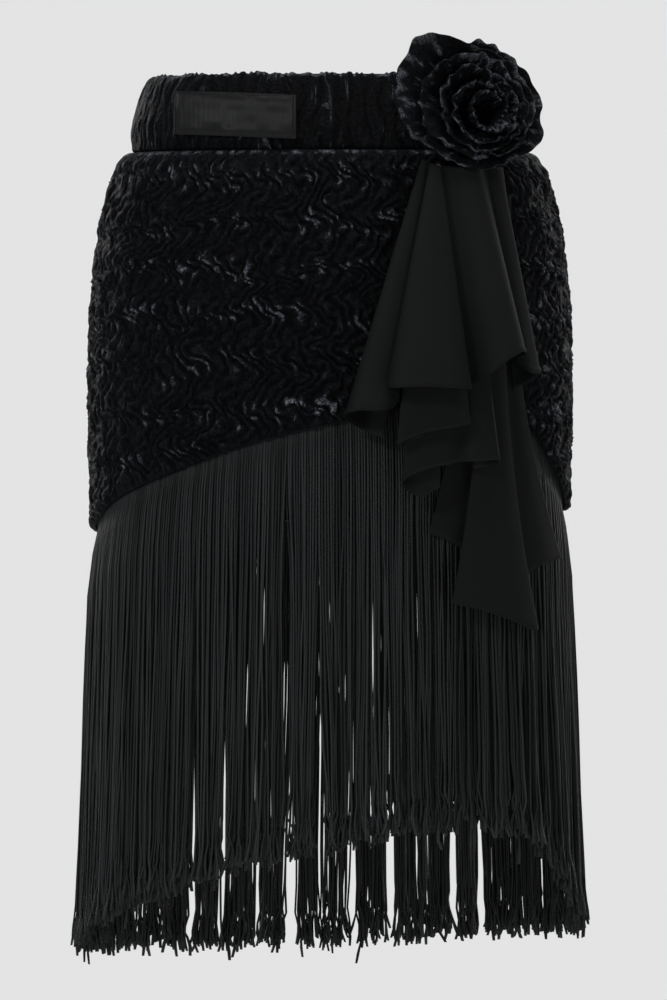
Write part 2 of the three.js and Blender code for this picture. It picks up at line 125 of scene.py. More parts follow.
def wobble(i: Array, j: float = 0.0) -> Array:
    """A repeatable value between -1 and 1 for item i of row j."""
    return np.sin(12.9898 * i + 78.233 * j + 3.7) * np.cos(4.171 * i - 9.31 * j)


@dataclass(frozen=True)
class Drift:
    """A smooth random field between -1 and 1 on a seeded lattice of cells.

    The value is blended between the four lattice values round a point, with eased weights.
    """

    seed: int
    across: float
    down: float
    size: int = 128

    def at(self, x: Array, y: Array) -> Array:
        """The field's value.

        Args:
            x: distances across the cloth, in millimetres.
            y: distances down the cloth, in millimetres.

        Returns:
            Values between -1 and 1, of the shape of x and y together.
        """
        lattice = np.random.default_rng(self.seed).uniform(-1, 1, (self.size, self.size))
        u, v = np.broadcast_arrays(x / self.across, y / self.down)
        i, j = np.floor(u).astype(int), np.floor(v).astype(int)
        p, q = ease(u - i), ease(v - j)
        i, j = i % self.size, j % self.size
        k, m = (i + 1) % self.size, (j + 1) % self.size
        left = lattice[i, j] * (1 - q) + lattice[i, m] * q
        right = lattice[k, j] * (1 - q) + lattice[k, m] * q
        return left * (1 - p) + right * p


@dataclass(frozen=True)
class SmoothTable:
    """A cubic curve through one column of a table.

    Its slope at a row is the mean of the two chords that meet there.
    """

    keys: tuple[float, ...]
    values: tuple[float, ...]

    def __call__(self, at: Array) -> Array:
        """The curve's value at each key, held at the table's two ends.

        Args:
            at: where to read the table.

        Returns:
            Values of the shape of at.
        """
        keys, values = np.array(self.keys), np.array(self.values)
        chords = np.diff(values) / np.diff(keys)
        slopes = np.concatenate([chords[:1], (chords[:-1] + chords[1:]) / 2, chords[-1:]])
        at = np.clip(at, keys[0], keys[-1])
        i = np.clip(np.searchsorted(keys, at, side="right") - 1, 0, len(keys) - 2)
        gap = keys[i + 1] - keys[i]
        t = (at - keys[i]) / gap
        start = values[i] * (1 + 2 * t) * (1 - t) ** 2 + slopes[i] * gap * t * (1 - t) ** 2
        end = values[i + 1] * t * t * (3 - 2 * t) + slopes[i + 1] * gap * t * t * (t - 1)
        return start + end


@dataclass(frozen=True)
class Outline:
    """A tube's outline: rows of (z, half width, front, back), in millimetres, from below."""

    rows: tuple[tuple[float, float, float, float], ...]

    def column(self, number: int, z: Array) -> Array:
        """One column of the table at height z."""
        keys = tuple(row[0] for row in self.rows)
        return SmoothTable(keys, tuple(row[number] for row in self.rows))(z)

    def point(self, angle: Array, z: Array, out: Array) -> Array:
        """Points on two half ellipses, moved out.

        Args:
            angle: turns from +X through the back, in radians.
            z: heights.
            out: how far outside the outline the points lie.

        Returns:
            Points of shape (..., 3).
        """
        angle, z, out = np.broadcast_arrays(angle, z, out)
        sine = np.sin(angle)
        depth = np.where(sine > 0, self.column(3, z), self.column(2, z))
        x = (self.column(1, z) + out) * np.cos(angle)
        return np.stack([x, (depth + out) * sine, z], axis=-1)

    def front_point(self, x: Array, z: Array, out: Array) -> Array:
        """Points on the front at distance x from the middle line, moved out.

        Args:
            x: distances from the middle line, towards +X.
            z: heights.
            out: how far outside the outline the points lie.

        Returns:
            Points of shape (..., 3).
        """
        x, z, out = np.broadcast_arrays(x, z, out)
        share = np.minimum(np.abs(x) / (self.column(1, z) + out), 0.999)
        y = -(self.column(2, z) + out) * np.sqrt(1 - share**2)
        return np.stack([x, y, z], axis=-1)

    def even_angles(self, side: tuple[float, float], share: Array) -> Array:
        """Angles that are evenly spaced by length along the outline at hip height.

        Args:
            side: the first and the last angle, in degrees.
            share: shares of the way from one to the other.

        Returns:
            Angles in radians.
        """
        steps = np.radians(np.linspace(*side, RING_STEPS))
        ring = self.point(steps, HIP_HEIGHT, 0.0)
        lengths = np.concatenate([[0], np.cumsum(np.linalg.norm(np.diff(ring, axis=0), axis=1))])
        return np.interp(np.clip(share, 0, 1) * lengths[-1], lengths, steps)


BAND = Outline(
    (
        (-27.5, 143.5, 99.5, 103.0),
        (-12.0, 142.5, 98.0, 101.0),
        (5.0, 139.0, 95.0, 97.0),
        (20.0, 134.0, 91.0, 93.0),
        (27.0, 130.0, 88.0, 90.0),
    )
)

SKIRT = Outline(
    (
        (-602.0, 184.0, 126.0, 130.0),
        (-520.0, 181.0, 124.0, 128.0),
        (-430.0, 178.0, 122.0, 127.0),
        (-360.0, 175.5, 121.0, 126.0),
        (-290.0, 173.5, 120.0, 127.0),
        (-200.0, 175.0, 120.0, 130.0),
        (-133.0, 173.0, 118.0, 130.0),
        (-76.0, 166.0, 113.0, 124.0),
        (-47.0, 158.5, 108.0, 116.0),
        (-34.0, 152.5, 104.5, 111.0),
        (-27.8, 147.0, 101.0, 106.0),
    )
)

# The hem's height round the skirt, by degrees: 0 is the +X side and 270 the front.
HEM = SmoothTable(
    (0, 45, 90, 135, 180, 207, 228, 251, 272, 296, 315, 326, 338, 350, 360),
    (-284, -290, -300, -300, -297, -275, -258, -237, -222, -209, -212, -223, -250, -270, -284),
)


def hem_height(angle: Array) -> Array:
    """The hem's height at an angle in radians."""
    return HEM(np.degrees(angle) % 360.0)


class Wall:
    """Gathers grids of points into one closed mesh, with a UV map and one value per point."""

    def __init__(self) -> None:
        """Starts with no points."""
        self._count = 0
        self._points: list[Array] = []
        self._uvs: list[Array] = []
        self._values: list[Array] = []
        self._faces: list[tuple[Array, int]] = []

    def place(self, points: Array, uv: Array | None = None, value: Array | float = 0.0) -> Array:
        """Adds points.

        Args:
            points: millimetres, of shape (..., 3).
            uv: cloth coordinates in millimetres, of shape (..., 2).
            value: the value at each point that the finish reads: painted highlights and painted shade, or a
                strand's tone with its row's painted shade.

        Returns:
            The points' numbers, of shape (...).
        """
        shape = points.shape[:-1]
        size = int(np.prod(shape))
        self._points.append(points.reshape(size, 3))
        flat = np.zeros((size, 2)) if uv is None else np.broadcast_to(uv, (*shape, 2))
        self._uvs.append(flat.reshape(size, 2))
        self._values.append(np.broadcast_to(value, shape).reshape(size))
        index = np.arange(self._count, self._count + size).reshape(shape)
        self._count += size
        return index

    def faces(self, corners: Array, part: int = 0) -> None:
        """Adds faces, a row of point numbers each, with the material of that number."""
        self._faces.append((corners.reshape(-1, corners.shape[-1]), part))

    def grid(self, index: Array, inside: bool = False, part: int = 0) -> None:
        """Covers a grid whose rows run down and columns anticlockwise, seen from above.

        Args:
            index: the point numbers.
            inside: whether the faces point inwards.
            part: the number of the faces' material.
        """
        a, b, c, d = index[:-1, :-1], index[:-1, 1:], index[1:, :-1], index[1:, 1:]
        order = [a, b, d, c] if inside else [a, c, d, b]
        self.faces(np.stack(order, axis=-1), part)

    def bridge(self, first: Array, second: Array, part: int = 0) -> None:
        """Joins two edges that may have different numbers of points.

        Each step along the first edge meets the point of the second at the same share of the
        way, and each step along the second starts where the first has got to.

        Args:
            first: the first edge's point numbers.
            second: the second edge's.
            part: the number of the faces' material.
        """
        n, m = len(first) - 1, len(second) - 1
        if n == m:
            quads = [first[:-1], first[1:], second[1:], second[:-1]]
            self.faces(np.stack(quads, axis=-1), part)
            return
        met = np.rint((np.arange(n) + 0.5) / n * m).astype(int)
        self.faces(np.stack([first[:-1], first[1:], second[met]], axis=-1), part)
        reached = np.searchsorted(met, np.arange(m), side="right")
        self.faces(np.stack([first[reached], second[1:], second[:-1]], axis=-1), part)

    def shell(self, outer: Array, inner: Array, ring: bool = False, lining: int = 0) -> None:
        """Covers both faces of a wall and closes its edges.

        Args:
            outer: the outer face's point numbers, as a grid.
            inner: the inner face's, which may have fewer rows and columns.
            ring: whether the wall runs all the way round.
            lining: the number of the inner face's material.
        """
        if ring:
            outer, inner = closed(outer), closed(inner)
        self.grid(outer)
        self.grid(inner, inside=True, part=lining)
        self.bridge(outer[0], inner[0])
        self.bridge(outer[-1][::-1], inner[-1][::-1])
        if not ring:
            self.bridge(outer[::-1, 0], inner[::-1, 0])
            self.bridge(outer[:, -1], inner[:, -1])

    def mesh(self, name: str) -> bpy.types.Mesh:
        """The finished mesh, in metres, smooth shaded.

        Args:
            name: the mesh's name.

        Returns:
            The mesh, with its UV map and its value per point for painted highlights, painted shade and the
            strands' tone.
        """
        mesh = bpy.data.meshes.new(name)
        mesh.vertices.add(self._count)
        mesh.vertices.foreach_set("co", (np.concatenate(self._points) * MM).ravel())
        loops = np.concatenate([faces.ravel() for faces, _ in self._faces])
        sizes = np.concatenate([np.full(len(faces), faces.shape[1]) for faces, _ in self._faces])
        parts = np.concatenate([np.full(len(faces), part) for faces, part in self._faces])
        mesh.loops.add(len(loops))
        mesh.loops.foreach_set("vertex_index", loops)
        mesh.polygons.add(len(sizes))
        mesh.polygons.foreach_set("loop_start", np.cumsum(sizes) - sizes)
        mesh.polygons.foreach_set("material_index", parts)
        uvs = mesh.uv_layers.new(name="cloth")
        uvs.data.foreach_set("uv", (np.concatenate(self._uvs) * MM)[loops].ravel())
        # one value per point, which paints highlights and shade, or gives a strand's tone with its row's
        # painted shade
        painted_light_and_tone = mesh.attributes.new("painted_light_and_tone", "FLOAT", "POINT")
        painted_light_and_tone.data.foreach_set("value", np.concatenate(self._values))
        mesh.update(calc_edges=True)
        mesh.shade_smooth()
        return mesh


class NodeBench:
    """Builds one material's nodes round a Principled shader."""

    def __init__(self, name: str) -> None:
        """Starts a material that has a shader and an output alone.

        Args:
            name: the material's name.
        """
        self.material = bpy.data.materials.new(name)
        self.material.use_nodes = True
        self.tree = self.material.node_tree
        self.tree.nodes.clear()
        self.shader = self.add("ShaderNodeBsdfPrincipled")
        self.add("ShaderNodeOutputMaterial", inputs={"Surface": self.shader.outputs["BSDF"]})

    def add(
        self, kind: str, settings: dict | None = None, inputs: dict | None = None
    ) -> bpy.types.Node:
        """Adds a node.

        Args:
            kind: the node's type.
            settings: its own properties.
            inputs: socket names or numbers, each with a value or another node's output.

        Returns:
            The node.
        """
        node = self.tree.nodes.new(kind)
        for key, value in (settings or {}).items():
            setattr(node, key, value)
        for key, value in (inputs or {}).items():
            if isinstance(value, bpy.types.NodeSocket):
                self.tree.links.new(value, node.inputs[key])
            else:
                node.inputs[key].default_value = value
        return node

    def coordinates(self, output: str, stretch: Triple = (1, 1, 1)) -> bpy.types.NodeSocket:
        """Object or UV coordinates, in metres, stretched by the given factors.

        Args:
            output: "Object" or "UV".
            stretch: the three factors.

        Returns:
            The coordinates.
        """
        source = self.add("ShaderNodeTexCoord").outputs[output]
        inputs = {"Vector": source, "Scale": stretch}
        return self.add("ShaderNodeMapping", inputs=inputs).outputs["Vector"]

    def noise(self, where: bpy.types.NodeSocket, scale: float, detail: float) -> bpy.types.NodeSocket:
        """Noise between 0 and 1, with about scale lumps to the metre."""
        inputs = {"Vector": where, "Scale": scale, "Detail": detail, "Roughness": 0.6}
        return self.add("ShaderNodeTexNoise", inputs=inputs).outputs["Fac"]

    def ribs(self, where: bpy.types.NodeSocket, pitch: float, axis: str) -> bpy.types.NodeSocket:
        """Fine ribs of the given pitch in metres, running across the named axis.

        Args:
            where: the coordinates.
            pitch: metres from one rib to the next.
            axis: "X" or "Y", the axis that crosses the ribs.

        Returns:
            The height of the ribs, from 0 to 1.
        """
        inputs = {"Vector": where, "Scale": FULL_TURN / WAVE_RATE / pitch, "Distortion": 0.6, "Detail": 1.0}
        settings = {"wave_type": "BANDS", "bands_direction": axis}
        return self.add("ShaderNodeTexWave", settings, inputs).outputs["Fac"]

    def attribute(self, name: str) -> bpy.types.NodeSocket:
        """The mesh's own value of that name."""
        return self.add("ShaderNodeAttribute", {"attribute_name": name}).outputs["Fac"]

    def spread(
        self, value: bpy.types.NodeSocket, low: float, high: float, to: tuple[float, float]
    ) -> bpy.types.NodeSocket:
        """Maps value from low and high onto the two ends of to, and clamps it."""
        inputs = {"Value": value, "From Min": low, "From Max": high, "To Min": to[0], "To Max": to[1]}
        return self.add("ShaderNodeMapRange", inputs=inputs).outputs["Result"]

    def times(self, a: bpy.types.NodeSocket, b: bpy.types.NodeSocket) -> bpy.types.NodeSocket:
        """The product of two values."""
        return self.add("ShaderNodeMath", {"operation": "MULTIPLY"}, {0: a, 1: b}).outputs["Value"]

    def mix(
        self,
        share: bpy.types.NodeSocket,
        a: Colour | bpy.types.NodeSocket,
        b: Colour | bpy.types.NodeSocket,
    ) -> bpy.types.NodeSocket:
        """A colour share of the way from a to b.

        Args:
            share: 0 for a, 1 for b.
            a: the first colour.
            b: the second colour.

        Returns:
            The mixed colour.
        """
        full = [(*c, 1.0) if isinstance(c, tuple) else c for c in (a, b)]
        inputs = {0: share, 6: full[0], 7: full[1]}
        return self.add("ShaderNodeMix", {"data_type": "RGBA"}, inputs).outputs[2]

    def bump(
        self, height: bpy.types.NodeSocket, depth: float, under: bpy.types.NodeSocket | None = None
    ) -> bpy.types.NodeSocket:
        """A normal from a height of that depth in metres, over another normal.

        Args:
            height: from 0 to 1.
            depth: metres from low to high.
            under: the normal that is bumped.

        Returns:
            The new normal.
        """
        inputs = {"Height": height, "Distance": depth, "Strength": 1.0}
        if under is not None:
            inputs["Normal"] = under
        return self.add("ShaderNodeBump", inputs=inputs).outputs["Normal"]

    def finish(self, values: dict) -> bpy.types.Material:
        """Sets or links the shader's sockets.

        Args:
            values: the shader's socket names, each with a value or an output.

        Returns:
            The material.
        """
        for key, value in values.items():
            if isinstance(value, bpy.types.NodeSocket):
                self.tree.links.new(value, self.shader.inputs[key])
            else:
                self.shader.inputs[key].default_value = value
        return self.material


@dataclass(frozen=True)
class CrushedVelvet:
    """Black crushed velvet, with painted blue-grey highlight streaks along the ridges and painted shade in
    its creases.
    """

    name: str = "crushed_velvet"
    # painted shade, in the deepest creases
    hollow: Colour = (0.0010, 0.0011, 0.0014)
    pile: Colour = (0.0020, 0.0022, 0.0028)
    laid: Colour = (0.0140, 0.0156, 0.0194)
    # painted highlight, in the streaks along the ridges
    highlight_stroke: Colour = (0.310, 0.342, 0.390)
    sheen_tint: Colour = (0.62, 0.70, 0.86)
    roughness: float = 0.55
    patches: float = 560.0  # laid patches to the metre
    fuzz: float = 1050.0  # breaks in a stroke to the metre
    crush: tuple[float, float] = (430.0, 0.0026)  # lumps to the metre, and their depth
    fibre: tuple[float, float] = (1500.0, 0.0008)  # the same for the pile

    def build(self) -> bpy.types.Material:
        """Patches of laid pile under fuzzy painted highlight streaks, with a bump for the pile itself.

        The per-point value runs from -1, full painted shade in a crease, to 1, a full painted highlight.

        Returns:
            The material.
        """
        bench = NodeBench(self.name)
        place = bench.coordinates("Object")
        painted_light_and_tone = bench.attribute("painted_light_and_tone")
        patch = bench.spread(bench.noise(place, self.patches, 4.0), 0.44, 0.66, (0.0, 1.0))
        broken = bench.spread(bench.noise(place, self.fuzz, 4.0), 0.46, 0.57, (0.05, 1.0))
        # painted highlights, broken into fuzz
        highlight_stroke = bench.times(bench.spread(painted_light_and_tone, 0.0, 1.0, (0.0, 1.0)), broken)
        crest = bench.mix(patch, self.pile, self.laid)
        # painted shade: the deepest creases fall to the hollow colour
        ground = bench.mix(bench.spread(painted_light_and_tone, -0.8, -0.05, (0.0, 1.0)), self.hollow, crest)
        colour = bench.mix(highlight_stroke, ground, self.highlight_stroke)
        crush = bench.bump(bench.noise(place, self.crush[0], 4.0), self.crush[1])
        normal = bench.bump(bench.noise(place, self.fibre[0], 2.0), self.fibre[1], crush)
        return bench.finish(
            {
                "Base Color": colour,
                "Roughness": self.roughness,
                "Specular IOR Level": 0.06,
                "Sheen Weight": 0.03,
                "Sheen Roughness": 0.30,
                "Sheen Tint": (*self.sheen_tint, 1.0),
                "Normal": normal,
            }
        )


@dataclass(frozen=True)
class VelvetBacking:
    """The plain knitted back of the velvet."""

    name: str = "velvet_backing"
    thread: Colour = (0.0075, 0.0078, 0.0085)
    shadow: Colour = (0.0040, 0.0042, 0.0046)
    stitches: float = 1500.0  # to the metre
    depth: float = 0.0003

    def build(self) -> bpy.types.Material:
        """A matte, finely grained knit.

        Returns:
            The material.
        """
        bench = NodeBench(self.name)
        place = bench.coordinates("Object")
        knit = bench.noise(place, self.stitches, 2.0)
        colour = bench.mix(knit, self.shadow, self.thread)
        values = {"Base Color": colour, "Roughness": 0.9, "Specular IOR Level": 0.04}
        return bench.finish({**values, "Normal": bench.bump(knit, self.depth)})


@dataclass(frozen=True)
class RayonChainette:
    """Rope-like fringe strands, each a little lighter or darker than the next."""

    name: str = "rayon_chainette"
    deep: Colour = (0.0144, 0.0153, 0.0160)
    worn: Colour = (0.0450, 0.0470, 0.0485)
    stitch: float = 0.0013  # metres from one chain stitch to the next
    depth: float = 0.00022

    def build(self) -> bpy.types.Material:
        """Chain stitches along the strand, in its UV map. The value per point is the strand's own tone,
        darker on the inner rows as painted shade.

        Returns:
            The material.
        """
        bench = NodeBench(self.name)
        chain = bench.ribs(bench.coordinates("UV"), self.stitch, "Y")
        # each strand's tone, with painted shade on the inner rows
        tone = bench.mix(bench.attribute("painted_light_and_tone"), self.deep, self.worn)
        shaded = bench.mix(bench.spread(chain, 0.0, 0.5, (0.0, 1.0)), self.deep, tone)
        values = {"Base Color": shaded, "Roughness": 0.46, "Specular IOR Level": 0.10}
        return bench.finish({**values, "Normal": bench.bump(chain, self.depth)})


@dataclass(frozen=True)
class MatteCrepe:
    """Black crepe with a fine cross rib."""

    name: str = "matte_crepe"
    thread: Colour = (0.0136, 0.0150, 0.0140)
    hollow: Colour = (0.0095, 0.0105, 0.0100)
    # painted shade, deep in the folds
    painted_fold_shade: Colour = (0.0030, 0.0034, 0.0036)
    rib: float = 0.0007  # metres from one rib to the next
    grain: float = 1900.0  # grains to the metre
    depths: tuple[float, float] = (0.00010, 0.00012)  # of the ribs and of the grain

    def build(self) -> bpy.types.Material:
        """Cross ribs and a dry grain, in the cloth's UV map, with painted shade deep in the folds.

        Returns:
            The material.
        """
        bench = NodeBench(self.name)
        cloth = bench.coordinates("UV")
        rib = bench.ribs(cloth, self.rib, "Y")
        grain = bench.noise(cloth, self.grain, 3.0)
        weave = bench.mix(bench.times(rib, grain), self.hollow, self.thread)
        # painted shade where the folds are deep
        colour = bench.mix(bench.attribute("painted_light_and_tone"), weave, self.painted_fold_shade)
        normal = bench.bump(grain, self.depths[1], bench.bump(rib, self.depths[0]))
        return bench.finish(
            {
                "Base Color": colour,
                "Roughness": 0.80,
                "Specular IOR Level": 0.05,
                "Sheen Weight": 0.01,
                "Sheen Roughness": 0.5,
                "Normal": normal,
            }
        )


@dataclass(frozen=True)
class WovenSatin:
    """The label's black satin."""

    name: str = "woven_satin"
    warp: Colour = (0.0235, 0.0243, 0.0252)
    weft: Colour = (0.0075, 0.0078, 0.0083)
    rib: float = 0.0009  # metres from one rib to the next
    depth: float = 0.00010
    # painted sheen: lighter patches drawn out downwards
    painted_sheen: float = 160.0  # soft patches to the metre
    stretch: Triple = (1.0, 0.25, 1.0)  # of the patches, which are drawn out downwards

    def build(self) -> bpy.types.Material:
        """Fine upright ribs with a soft sheen, partly painted into the colour as lighter patches drawn out
        downwards.

        Returns:
            The material.
        """
        bench = NodeBench(self.name)
        cloth = bench.coordinates("UV")
        rib = bench.ribs(cloth, self.rib, "X")
        painted_sheen = bench.noise(bench.coordinates("UV", self.stretch), self.painted_sheen, 3.0)
        # the lighter warp shows in the painted sheen patches
        colour = bench.mix(bench.times(rib, painted_sheen), self.weft, self.warp)
        return bench.finish(
            {
                "Base Color": colour,
                "Roughness": 0.40,
                "Specular IOR Level": 0.16,
                "Anisotropic": 0.5,
                "Normal": bench.bump(rib, self.depth),
            }
        )


@dataclass(frozen=True)
class SewingThread:
    """Fine black sewing thread."""

    name: str = "sewing_thread"
    light: Colour = (0.030, 0.031, 0.033)
    dark: Colour = (0.012, 0.012, 0.013)
    fibres: float = 3000.0  # to the metre
    depth: float = 0.0001

    def build(self) -> bpy.types.Material:
        """A twist of lighter and darker fibres.

        Returns:
            The material.
        """
        bench = NodeBench(self.name)
        twist = bench.noise(bench.coordinates("Object"), self.fibres, 2.0)
        colour = bench.mix(twist, self.dark, self.light)
        values = {"Base Color": colour, "Roughness": 0.5, "Specular IOR Level": 0.1}
        return bench.finish({**values, "Normal": bench.bump(twist, self.depth)})


@dataclass
class Wardrobe:
    """The finishes, each built once."""

    velvet: bpy.types.Material = field(default_factory=lambda: CrushedVelvet().build())
    backing: bpy.types.Material = field(default_factory=lambda: VelvetBacking().build())
    rayon: bpy.types.Material = field(default_factory=lambda: RayonChainette().build())
    crepe: bpy.types.Material = field(default_factory=lambda: MatteCrepe().build())
    satin: bpy.types.Material = field(default_factory=lambda: WovenSatin().build())
    thread: bpy.types.Material = field(default_factory=lambda: SewingThread().build())


def add_piece(
    name: str, wall: Wall, materials: list[bpy.types.Material], node: str
) -> bpy.types.Object:
    """Makes a piece from its wall and puts it in the place of a solid.

    Args:
        name: the piece's name.
        wall: its points and faces.
        materials: its finishes, by the numbers that the faces use.
        node: the solid that the piece stands for.

    Returns:
        The new object, riding on the garment.
    """
    piece = bpy.data.objects.new(name, wall.mesh(name))
    bpy.context.scene.collection.objects.link(piece)
    for material in materials:
        piece.data.materials.append(material)
    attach(piece, BODY)
    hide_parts(node)
    log.info("%s: %d faces", name, len(piece.data.polygons))
    return piece


Warp = tuple[int, float, float, float]


@dataclass(frozen=True)
class Crinkle:
    """The crushed cloth's ridges, which run down the cloth and zigzag from side to side.

    A point's phase is its distance across in pitches plus a lopsided wave of its distance down,
    both warped by drifts, and a ridge stands wherever the phase is whole. A warp is a row of
    (drift's number, millimetres moved, cell across, cell down).
    """

    seed: int
    pitch: float = 10.2  # from one ridge to the next
    zigzag: float = 34.0  # of cloth in a zigzag
    lean: float = 0.82  # how far a zigzag swings, in pitches
    warps_across: tuple[Warp, ...] = ((1, 6.0, 22, 16), (2, 4.0, 8, 7), (10, 1.6, 3.4, 3.6))
    warps_down: tuple[Warp, ...] = ((3, 7.5, 30, 18), (4, 3.0, 9, 9))

    def drift(self, number: int, cell: tuple[float, float], spot: tuple[Array, Array]) -> Array:
        """One of the cloth's own drifts, with cells of that size, at a spot (x, y)."""
        return Drift(self.seed + number, *cell).at(*spot)

    def warped(self, along: Array, warps: tuple[Warp, ...], spot: tuple[Array, Array]) -> Array:
        """Distances along the cloth, moved by each warp in turn.

        Args:
            along: distances across or down the cloth.
            warps: the warps, in their order.
            spot: the unwarped x and y.

        Returns:
            The warped distances.
        """
        for number, amount, across, down in warps:
            along = along + amount * self.drift(number, (across, down), spot)
        return along

    def phase(self, x: Array, y: Array) -> tuple[Array, Array]:
        """The ridges' phase, and the zigzag's angle, on cloth that is warped by drifts.

        Args:
            x: distances across, in millimetres.
            y: distances down, in millimetres.

        Returns:
            The phase in turns, and the angle in radians.
        """
        warped_x = self.warped(x, self.warps_across, (x, y))
        warped_y = self.warped(y, self.warps_down, (x, y))
        turn = FULL_TURN * warped_y / self.zigzag
        zig = np.sin(turn) - 0.2 * np.sin(2 * turn)
        return warped_x / self.pitch + self.lean * zig, turn

    def relief(self, x: Array, y: Array) -> tuple[Array, Array]:
        """The cloth's height, and where highlights and shade are painted on its pile.

        The height is a share each of ridge, lump and crumb. A painted highlight streak lies beside a
        ridge's top where the zigzag runs flattest, broken into threads, patches and wide regions.
        Painted shade darkens the creases.

        Args:
            x: distances across, in millimetres.
            y: distances down, in millimetres.

        Returns:
            Heights from 0 in a crease to 1 on a crest, and the painted light, which is up to 1 in a
            painted highlight and down to -1 in the painted shade of a crease.
        """
        spot = (x, y)
        phase, turn = self.phase(x, y)
        flattest = ease(0.5 - 0.75 * np.cos(turn))
        tall = 0.60 + 0.42 * self.drift(5, (8, 7), spot) + 0.16 * (flattest - 0.5)
        lump = 0.5 * self.drift(11, (3.4, 4.6), spot) + 0.5
        crumb = 0.5 * self.drift(6, (1.9, 2.8), spot) + 0.5
        height = np.clip(ridge(phase) * tall * 0.82 + 0.24 * lump + 0.18 * crumb, 0, 1)
        width = 0.27 + 0.13 * self.drift(7, (6, 6), spot)
        threads = 0.20 + 0.80 * ease(0.5 + 1.5 * self.drift(12, (1.1, 1.3), spot))
        patches = ease(0.34 + 1.35 * self.drift(8, (6, 6), spot))
        regions = ease(0.64 + 0.8 * self.drift(9, (34, 22), spot))
        beside = bell(from_whole(phase + 0.10), width)
        # painted highlight: streaks beside the ridges' tops, where the zigzag runs flattest
        highlight_stroke = beside * threads * patches * (0.14 + 0.86 * flattest * regions)
        # painted shade deepens towards the creases, outside the highlights
        return height, highlight_stroke - (1 - highlight_stroke) * (1 - height) ** 1.6


